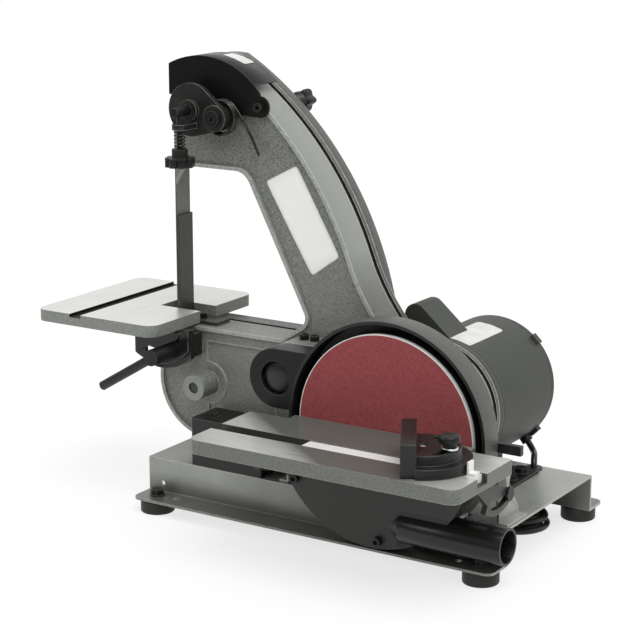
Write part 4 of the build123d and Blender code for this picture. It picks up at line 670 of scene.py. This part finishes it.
torsion = skin("torsion_wire", wire_tube(np.concatenate([coil_path, leg_path]),
                                         np.concatenate([coil_spoke, leg_spoke]), COIL_WIRE))
finish_piece(torsion, spring_black, "frame", "black_oxide", "torsion_spring")

TRACK = at(-260.2, 14, 0)
TRACK_RADIUS, TRACK_WIRE, TRACK_TURNS = 0.0056, 0.0008, 5.0
TRACK_Z0, TRACK_Z1 = at(0, 0, 266.8)[2], at(0, 0, 285.2)[2]
track_angle = 2 * np.pi * TRACK_TURNS * np.linspace(0.0, 1.0, 180)
track_spoke = np.stack([np.cos(track_angle), np.sin(track_angle), 0 * track_angle], axis=-1)
track_path = np.array([TRACK[0], TRACK[1], 0.0]) + TRACK_RADIUS * track_spoke
track_path[:, 2] = np.linspace(TRACK_Z0, TRACK_Z1, len(track_angle))
tracking = skin("tracking_wire", wire_tube(track_path, track_spoke, TRACK_WIRE, sides=10))
finish_piece(tracking, spring_black, "tension", "black_oxide", "tracking_spring")


# Top guard: a flat plate and a bent strip of sheet steel in deep black, screwed to the arm over the wheel.
# A blank pale patch is glued on the strip.
guard_black = mottled("guard_black", (0.0045, 0.005, 0.0042), (0.008, 0.0085, 0.0075), 0.24, 0.34, patch=14.0,
                      shine=0.22)
wear_and_highlight_edges(guard_black, (0.1, 0.105, 0.095), 0.35, amount=0.45)
dress(guard_black, "top_guard", edge=0.0006)
GUARD_MIDDLE = at(-260, 0, 265.1)
GUARD_RADIUS = 0.0953
PATCH_TURN = (math.radians(65.0), math.radians(83.0))
PATCH_Y = (at(0, 77, 0)[1], at(0, 96, 0)[1])


def wrapped(middle, radius, turn, reach):
    """Function that lays (u, v, height) round a cylinder along Y: u across the angles, v along Y."""
    def lay(u, v, height):
        """Point on the cylinder, lifted outward from its surface."""
        angle = turn[0] + (turn[1] - turn[0]) * (1 + u) / 2
        y = reach[0] + (reach[1] - reach[0]) * (1 + v) / 2
        out = radius + height
        return np.stack([middle[0] + out * np.cos(angle), y, middle[2] + out * np.sin(angle)], axis=-1)
    return lay


dull_plate = mottled("dull_plate", (0.56, 0.57, 0.54), (0.68, 0.69, 0.66), 0.3, 0.42, patch=60.0,
                     grain=2600.0, strength=0.05)
on_guard = wrapped(GUARD_MIDDLE, GUARD_RADIUS, PATCH_TURN, PATCH_Y)
guard_patch = skin("guard_patch", plate_grid(on_guard, 0.0003, 9.0))
finish_piece(guard_patch, dull_plate, "frame", "plain_aluminium")


# Side cover: a shallow pressed cover in hammered grey over the wheels, held by two studs.
# Star knobs of black plastic, with five lobes and a round neck, screw down on it.
cover_paint = hammer_painted("cover_paint", (0.045, 0.049, 0.041), (0.098, 0.103, 0.09))
wear_and_highlight_edges(cover_paint, (0.26, 0.27, 0.25), 0.35, radius=0.0022, amount=0.6)
dress(cover_paint, "side_cover", edge=0.0012)
NECK_RADIUS, NECK_LENGTH = 0.0075, 0.012
STAR_RADIUS, STAR_LOBES, STAR_DEPTH = 0.013, 5, 0.14


def star_grid(middle, radius, length):
    """Grid of a lobed knob along +Y: a round neck, then a head of radius R(1 - d + d cos(n a))."""
    head = rounded(1.0, NECK_LENGTH / length, 1.0, 0.2)[1:]
    neck = np.array([(0.0, 0.0), (NECK_RADIUS / radius, 0.0), (NECK_RADIUS / radius, NECK_LENGTH / length)])
    share, level = np.concatenate([neck, head]).T
    depth = STAR_DEPTH * np.concatenate([np.zeros(len(neck)), np.ones(len(head))])[:, None]
    angle = np.linspace(0.0, 2 * np.pi, 24 * STAR_LOBES, endpoint=False)
    reach = radius * share[:, None] * (1 - depth + depth * np.cos(STAR_LOBES * angle))
    y = length * level[:, None] + 0 * angle
    return np.array(middle) + np.stack([reach * np.cos(angle), y, reach * np.sin(angle)], axis=-1)


for knob_node, knob_body in (("cover_knob_top", "knob_top"), ("cover_knob_low", "knob_low")):
    knob_low, knob_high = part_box(knob_node)
    knob_place = (knob_high.x - STAR_RADIUS, knob_low.y, (knob_low.z + knob_high.z) / 2)
    star = skin("star_" + knob_node, star_grid(knob_place, STAR_RADIUS, knob_high.y - knob_low.y))
    finish_piece(star, black_plastic, knob_body, "black_plastic", knob_node)


# Belt table: a cast plate with a ground top, hammered paint on its edges and a groove across it, darkened as
# painted shade.
# It hangs on a black sector that a lever locks to a bracket on the arm.
def table_iron(name, top_z, dark, light, smooth, rough, stretch, paint_dark, paint_light, metal):
    """Painted cast iron with a ground top face: marks drawn out along the plate, hammered paint elsewhere."""
    material = new_material(name, light, shine=0.12)
    tree = material.node_tree
    paint = add_group(material, hammered, {"Light": paint_light, "Dark": paint_dark, "Smooth": 0.3,
                                           "Rough": 0.48, "Cell": 620.0})
    steel = add_group(material, ground, {"Light": light, "Dark": dark, "Smooth": smooth, "Rough": rough,
                                         "Stretch": stretch})
    top = where(material, ("NZ", 0.9, None), ("Z", top_z - TABLE_SKIN, None))
    layers = [mixed(tree, kind, top, paint[socket], steel[socket])
              for socket, kind in (("Color", "RGBA"), ("Roughness", "FLOAT"), ("Height", "FLOAT"))]
    wire_finish(material, *layers, 0.35, GRAIN_DEPTH)
    wire(tree, (ranged(tree, top, 0.0, 1.0, 0.0, metal), tree.nodes["Principled BSDF"].inputs["Metallic"]))
    return material


TABLE_SKIN = 0.0004
belt_table_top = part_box("belt_table")[1].z
belt_table_iron = table_iron("belt_table_iron", belt_table_top, (0.62, 0.63, 0.6), (0.76, 0.77, 0.74), 0.3,
                             0.42, (900.0, 30.0, 900.0), (0.15, 0.157, 0.14), (0.29, 0.3, 0.275), 0.7)
GROOVE_X = (at(-387.7, 0, 0)[0], at(-372.3, 0, 0)[0])
GROOVE_TOP, GROOVE_DEEP = 0.0002, 0.0036
# Painted shade: the groove's walls and floor are darkened.
groove_shade = where(belt_table_iron, ("X", *GROOVE_X),
                     ("Z", belt_table_top - GROOVE_DEEP, belt_table_top - GROOVE_TOP))
overlay(belt_table_iron, groove_shade, (0.01, 0.0105, 0.009), 0.5, 0.0)
dress(belt_table_iron, "belt_table", edge=0.0009)
dress(arm_black, "belt_table_trunnion", "belt_table_bracket", edge=0.001)
dress(black_plastic, "lock_lever", edge=0.0016, segments=4)


# Motor: drawn steel shell between two cast bells in dark grey paint, bolted by its foot to the deck.
# Inside are the wound stator, the rotor on ball bearings and a moulded fan.
motor_paint = mottled("motor_paint", (0.044, 0.048, 0.04), (0.058, 0.062, 0.053), 0.46, 0.58, patch=16.0,
                      shine=0.3)
wear_and_highlight_edges(motor_paint, (0.17, 0.177, 0.16), 0.38, amount=0.4)
dress(motor_paint, "motor_shell")
dress(motor_paint, "motor_front_bell", "motor_rear_bell", edge=0.001)
dress(motor_paint, "capacitor_cover", edge=0.0008)
bright_steel = ground_metal("bright_steel", (0.5, 0.5, 0.49), (0.68, 0.68, 0.67), 0.2, 0.34,
                            (60.0, 1500.0, 60.0))
dress(bright_steel, "motor_bearings", "rotor_core", "motor_stator")
dress(black_plastic, "cooling_fan")
dress(black_plastic, "lead_gland", "deck_grommet", edge=0.0006)
foot_black = mottled("foot_black", (0.008, 0.0085, 0.0075), (0.016, 0.0165, 0.015), 0.3, 0.45, shine=0.35)
wear_and_highlight_edges(foot_black, (0.11, 0.115, 0.105), 0.4, amount=0.5)
dress(foot_black, "motor_foot", edge=0.0009)
MOTOR_RADIUS = 0.072
MOTOR_PLATE_TURN = (math.radians(67.0), math.radians(93.0))
MOTOR_PLATE_Y = (at(0, 128, 0)[1], at(0, 206, 0)[1])
on_motor = wrapped(SPINDLE, MOTOR_RADIUS, MOTOR_PLATE_TURN, MOTOR_PLATE_Y)
motor_plate = skin("motor_plate", plate_grid(on_motor, 0.0004, 16.0))
finish_piece(motor_plate, dull_plate, "frame", "plain_aluminium")


# Motor lead: black sheathed cable from the gland on the shell, through a grommet into the deck.
# The mains cord has the same sheath.
def cable(name, points, radius):
    """Round cable along a smooth curve that a row of given points draws in."""
    data = bpy.data.curves.new(name, "CURVE")
    data.dimensions = "3D"
    data.bevel_depth = radius
    data.bevel_resolution = 5
    data.use_fill_caps = True
    line = data.splines.new("NURBS")
    line.points.add(len(points) - 1)
    line.points.foreach_set("co", np.column_stack([points, np.ones(len(points))]).ravel())
    line.order_u = 3
    line.use_endpoint_u = True
    line.resolution_u = 8
    return new_object(name, data)


sheath = mottled("cord_sheath", (0.006, 0.0065, 0.0055), (0.013, 0.0135, 0.012), 0.26, 0.38, patch=60.0,
                 shine=0.45)
CORD_RADIUS = 0.0035
lead_route = np.array([at(46.54, 227, -55.46), at(59.14, 227, -70.48), at(74, 195, -67), at(74, 195, -87)])
lead = cable("motor_lead_cable", lead_route, CORD_RADIUS)
finish_piece(lead, sheath, "frame", "black_rubber", "motor_lead")


# Disc: a turned aluminium plate on the motor shaft with a red abrasive disc glued on its face.
# The plate's front rim is bright, and a thin painted highlight round the abrasive's edge stands for it.
grit, grit_in, grit_out = node_group("abrasive_grit", FINISH_IN + [("Grains", FLOAT)], FINISH_OUT)
grit_cell = grit.nodes.new("ShaderNodeTexVoronoi")
grit_split = grit.nodes.new("ShaderNodeSeparateColor")
wire(grit,
     (placed(grit), grit_cell.inputs["Vector"]),
     (grit_in.outputs["Grains"], grit_cell.inputs["Scale"]),
     (grit_cell.outputs["Color"], grit_split.inputs["Color"]))
grit_tone = mixed(grit, "FLOAT", 0.5, grit_split.outputs["Red"], noise(grit, 260.0))
close_finish(grit, grit_in, grit_out, grit_tone, grit_tone)
DISC_RADIUS = (disc_high.x - disc_low.x) / 2
DISC_HIGHLIGHT_RIM = 0.0009
red_grit = finished("red_abrasive", grit, (0.17, 0.034, 0.038), (0.44, 0.105, 0.11), 0.62, 0.92, 0.4,
                    GRAIN_DEPTH, 0.2, Grains=1500.0)
# Painted highlight: a thin pale ring at the abrasive's outer edge.
overlay(red_grit, where(red_grit, (SPINDLE, DISC_RADIUS - DISC_HIGHLIGHT_RIM, None)), (0.8, 0.8, 0.77), 0.35)
dress(red_grit, "sanding_disc")
disc_plate_metal = ground_metal("disc_plate_metal", (0.02, 0.021, 0.019), (0.04, 0.042, 0.038), 0.35, 0.5,
                                (60.0, 1800.0, 60.0), metal=0.3)
RIM_LINE_Y = at(0, 5, 0)[1]
rim_line = where(disc_plate_metal, ("Y", None, RIM_LINE_Y))
overlay(disc_plate_metal, rim_line, (0.78, 0.78, 0.76), 0.3, 0.2)
dress(disc_plate_metal, "disc_plate", edge=0.0005)


# Lower disc cover: pressed sheet under the guard with a welded dust tube, in satin black.
# The tube's mouth is rubbed along its rim, worn and with a painted highlight.
cover_black = mottled("cover_black", (0.022, 0.024, 0.02), (0.033, 0.035, 0.03), 0.34, 0.46, patch=12.0,
                      shine=0.4)
wear_and_highlight_edges(cover_black, (0.1, 0.105, 0.095), 0.35, amount=0.55)
TUBE_START = at(30, -13, -88.8)
TUBE_RADIUS, TUBE_REACH = 0.0196, 0.02
tube_side = where(cover_black, ("X", TUBE_START[0], None), ("Y", None, TUBE_START[1] + TUBE_REACH),
                  ("Z", TUBE_START[2] - TUBE_RADIUS, TUBE_START[2] + TUBE_RADIUS))
overlay(cover_black, tube_side, (0.007, 0.0075, 0.0065), 0.26)
dress(cover_black, "lower_disc_cover", edge=0.0007)


# Disc table: a ground cast plate with a miter slot, tilting on two trunnions between sheet supports.
# The grinding marks run along the plate, a painted shadow darkens its top before the disc, painted shade
# darkens its miter slot, and paint covers its edges.
disc_table_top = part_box("disc_table")[1].z
disc_table_iron = table_iron("disc_table_iron", disc_table_top, (0.46, 0.468, 0.445), (0.62, 0.628, 0.6),
                             0.26, 0.36, (40.0, 1300.0, 1300.0), (0.095, 0.1, 0.088),
                             (0.2, 0.208, 0.188), 0.5)
# Painted shadow: a dark patch on the top before the disc, with a slanted soft left edge and a soft right
# edge.
SHADOW_SLANT, SHADOW_SOFT = (0.6, 0.8), 0.012
SHADOW_LEFT = float(at(-125, -45, 0)[:2] @ SHADOW_SLANT)
SHADOW_RIGHT = (at(135, 0, 0)[0], at(90, 0, 0)[0])
SLOT_TOP, SLOT_DEEP = 0.0006, 0.0094
SLOT_Y = (at(0, -87.2, 0)[1], at(0, -66.8, 0)[1])
table_tree = disc_table_iron.node_tree
table_x = measure(table_tree, "X")
table_slant = worked(table_tree, "ADD", worked(table_tree, "MULTIPLY", table_x, SHADOW_SLANT[0]),
                     worked(table_tree, "MULTIPLY", measure(table_tree, "Y"), SHADOW_SLANT[1]))
painted_shadow = worked(table_tree, "MULTIPLY", where(disc_table_iron, ("Z", disc_table_top - TABLE_SKIN, None)),
                   ranged(table_tree, table_slant, SHADOW_LEFT - SHADOW_SOFT, SHADOW_LEFT + SHADOW_SOFT),
                   ranged(table_tree, table_x, *SHADOW_RIGHT, 0.0, 0.9))
overlay(disc_table_iron, painted_shadow, (0.062, 0.066, 0.058), 0.24, 0.0)
wear_and_highlight_edges(disc_table_iron, (0.5, 0.51, 0.48), 0.32, amount=0.5)
# Painted shade: the miter slot's walls and floor are darkened.
slot_shade = where(disc_table_iron, ("Y", *SLOT_Y),
                   ("Z", disc_table_top - SLOT_DEEP, disc_table_top - SLOT_TOP))
overlay(disc_table_iron, slot_shade, (0.06, 0.064, 0.055), 0.4, 0.3)
dress(disc_table_iron, "disc_table", edge=0.0012)
trunnion_grey = mottled("trunnion_grey", (0.03, 0.032, 0.028), (0.055, 0.058, 0.051), 0.3, 0.45, shine=0.35)
wear_and_highlight_edges(trunnion_grey, (0.24, 0.25, 0.23), 0.4, amount=0.6)
EAR_START = at(135.4, -17, 0)
ear_right = where(trunnion_grey, ("X", EAR_START[0], None), ("Y", EAR_START[1], None))
overlay(trunnion_grey, ear_right, (0.3, 0.31, 0.285), 0.4)
dress(trunnion_grey, "table_trunnions", edge=0.001)
sheet_grey = mottled("grey_sheet", (0.27, 0.28, 0.26), (0.34, 0.35, 0.325), 0.3, 0.42, metal=0.3)
wear_and_highlight_edges(sheet_grey, (0.5, 0.51, 0.48), 0.35, amount=0.5)
dress(sheet_grey, "tilt_supports", edge=0.0006)
dress(black_plastic, "table_lock_left", "table_lock_right", edge=0.0005)
dress(foot_black, "stay_bar", edge=0.0008)


# Miter gauge: a zinc-plated bar in the slot with a black head that swivels on it.
# A turned knob with a bright ferrule clamps the head.
zinc = ground_metal("bright_zinc", (0.78, 0.785, 0.76), (0.9, 0.905, 0.88), 0.34, 0.46,
                    (30.0, 1200.0, 1200.0), metal=0.2)
dress(zinc, "miter_bar", edge=0.0005)
head_black = mottled("head_black", (0.006, 0.0065, 0.0055), (0.014, 0.0145, 0.013), 0.28, 0.42, grain=1500.0,
                     strength=0.3, shine=0.4)
wear_and_highlight_edges(head_black, (0.1, 0.105, 0.095), 0.35, amount=0.55)
dress(head_black, "miter_head", edge=0.001)
knob_box_low, knob_box_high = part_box("miter_knob")
KNOB_FOOT = at(117, -77, 23.1)
PIN_RADIUS, STEM_RADIUS, STEM_FOOT, STEM_TOP = 0.0040, 0.0068, 0.0022, 0.0068
HEAD_RADIUS, HEAD_BEVEL, HEAD_SIDE = 0.0108, 0.0012, 0.0036
pin_foot = knob_box_low.z - KNOB_FOOT[2]
dome_foot = STEM_TOP + HEAD_SIDE
dome_rise = knob_box_high.z - KNOB_FOOT[2] - dome_foot
dome_turn = np.linspace(0.0, np.pi / 2, 8)
head_dome = np.stack([HEAD_RADIUS * np.cos(dome_turn) ** 0.28, dome_foot + dome_rise * np.sin(dome_turn)],
                     axis=-1)
knob_profile = np.concatenate([
    [(0.0, pin_foot), (PIN_RADIUS, pin_foot), (PIN_RADIUS, STEM_FOOT), (STEM_RADIUS, STEM_FOOT),
     (STEM_RADIUS, STEM_TOP), (HEAD_RADIUS - HEAD_BEVEL, STEM_TOP), (HEAD_RADIUS, STEM_TOP + HEAD_BEVEL)],
    head_dome])
gauge_knob = skin("gauge_knob_grip", turned(knob_profile, KNOB_FOOT, (0, 0, 1)))
finish_piece(gauge_knob, black_plastic, "gauge_knob", "black_plastic", "miter_knob")
FERRULE_RADIUS, FERRULE_HOLE, FERRULE_TALL, FERRULE_EDGE = 0.0086, PIN_RADIUS + 0.0002, 0.0026, 0.0008
ferrule_profile = np.concatenate([
    [(FERRULE_HOLE, 0.0)], rounded(FERRULE_RADIUS, 0.0, FERRULE_TALL, FERRULE_EDGE)[1:-1],
    [(FERRULE_HOLE, FERRULE_TALL), (FERRULE_HOLE, 0.0)]])
ferrule = skin("gauge_knob_ferrule", turned(ferrule_profile, KNOB_FOOT, (0, 0, 1)))
chrome = ground_metal("bright_chrome", (0.7, 0.7, 0.69), (0.82, 0.82, 0.81), 0.1, 0.2, (200.0, 200.0, 900.0))
finish_piece(ferrule, chrome, "gauge_knob", "bright_steel")


# Mains cord: a round black sheathed cord that leaves a strain relief under the deck, lies on the floor
# behind the front wall as a folded hank held by a strap, and ends in a moulded plug.
dress(black_rubber, "strain_relief", edge=0.001)
PRONG_LENGTH = 0.0188
plug_rubber = mottled("plug_rubber", (0.012, 0.013, 0.011), (0.024, 0.025, 0.022), 0.4, 0.55, patch=60.0,
                      shine=0.35)
plug_prongs = where(plug_rubber, ("X", None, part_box("plug")[0].x + PRONG_LENGTH))
overlay(plug_rubber, plug_prongs, (0.66, 0.58, 0.36), 0.28, 0.9)
dress(plug_rubber, "plug", edge=0.0012, segments=3)
HANK_X0, HANK_X1, HANK_Y = -70.0, 70.0, 165.6
HIGH_Z, LOW_Z = -122.9, -130.5
HIGH_ROWS = [31.0, -27.2, 23.4, -19.6]
LOW_ROWS = [23.4, -27.2, 31.0, -34.8]
PLUG_X = -100.0
CURVE_DRAW = 1.035
cord_rows = [(HANK_Y + dy, HIGH_Z) for dy in HIGH_ROWS] + [(HANK_Y + dy, LOW_Z) for dy in LOW_ROWS]
cord_route = [(-196.0, 196.6, -95.0), (-160.0, 196.6, -95.0), (-105.0, 196.6, -122.9)]
for number, (row_y, row_z) in enumerate(cord_rows):
    way = 1 if number % 2 == 0 else -1
    x_in, x_out = (HANK_X0, HANK_X1)[::way]
    if number + 1 == len(cord_rows):
        cord_route += [(x_in, row_y, row_z), (x_in + way * 60.0, row_y, row_z), (PLUG_X + 40.0, row_y, row_z),
                       (PLUG_X, row_y, row_z)]
        break
    next_y, next_z = cord_rows[number + 1]
    cord_route += [(x_in, row_y, row_z), (x_in + way * 45.0, row_y, row_z),
                   (x_out - way * 45.0, row_y, next_z), (x_out, row_y, next_z)]
    bend_y, bend_radius = (row_y + next_y) / 2, abs(row_y - next_y) / 2
    side = 1 if row_y > next_y else -1
    for turn in np.radians([30.0, 60.0, 90.0, 120.0, 150.0]):
        cord_route.append((x_out + way * CURVE_DRAW * bend_radius * math.sin(turn),
                           bend_y + side * CURVE_DRAW * bend_radius * math.cos(turn), next_z))
cord_points = np.array([at(*point) for point in cord_route])
mains = cable("mains_cord_cable", cord_points, CORD_RADIUS)
finish_piece(mains, sheath, "frame", "black_rubber", "mains_cord", "cord_hank")

STRAP_WIDTH, STRAP_THICK = 0.006, 0.0008
STRAP_MIDDLE = at(0.0, HANK_Y - 1.9, 0.0)
STRAP_HALF_Y, STRAP_HALF_Z = 0.0368, 0.0072
STRAP_Z = STRAP_HALF_Z + STRAP_THICK
loop_angle = np.linspace(0.0, 2 * np.pi, 120, endpoint=False)
loop_y, loop_z = squared(loop_angle, 0.3)
section = [(-1, 0), (1, 0), (1, 1), (-1, 1), (-1, 0)]
strap_grid = np.stack([np.stack([STRAP_MIDDLE[0] + side * STRAP_WIDTH + 0 * loop_y,
                                 STRAP_MIDDLE[1] + (STRAP_HALF_Y + lift * STRAP_THICK) * loop_y,
                                 STRAP_Z + (STRAP_HALF_Z + lift * STRAP_THICK) * loop_z], axis=-1)
                       for side, lift in section])
strap = skin("hank_strap", strap_grid)
strap_web = mottled("strap_web", (0.012, 0.0125, 0.011), (0.03, 0.031, 0.028), 0.6, 0.8, patch=700.0,
                    grain=1800.0, strength=0.4, shine=0.2)
finish_piece(strap, strap_web, "frame", "black_rubber")


bpy.context.view_layer.update()
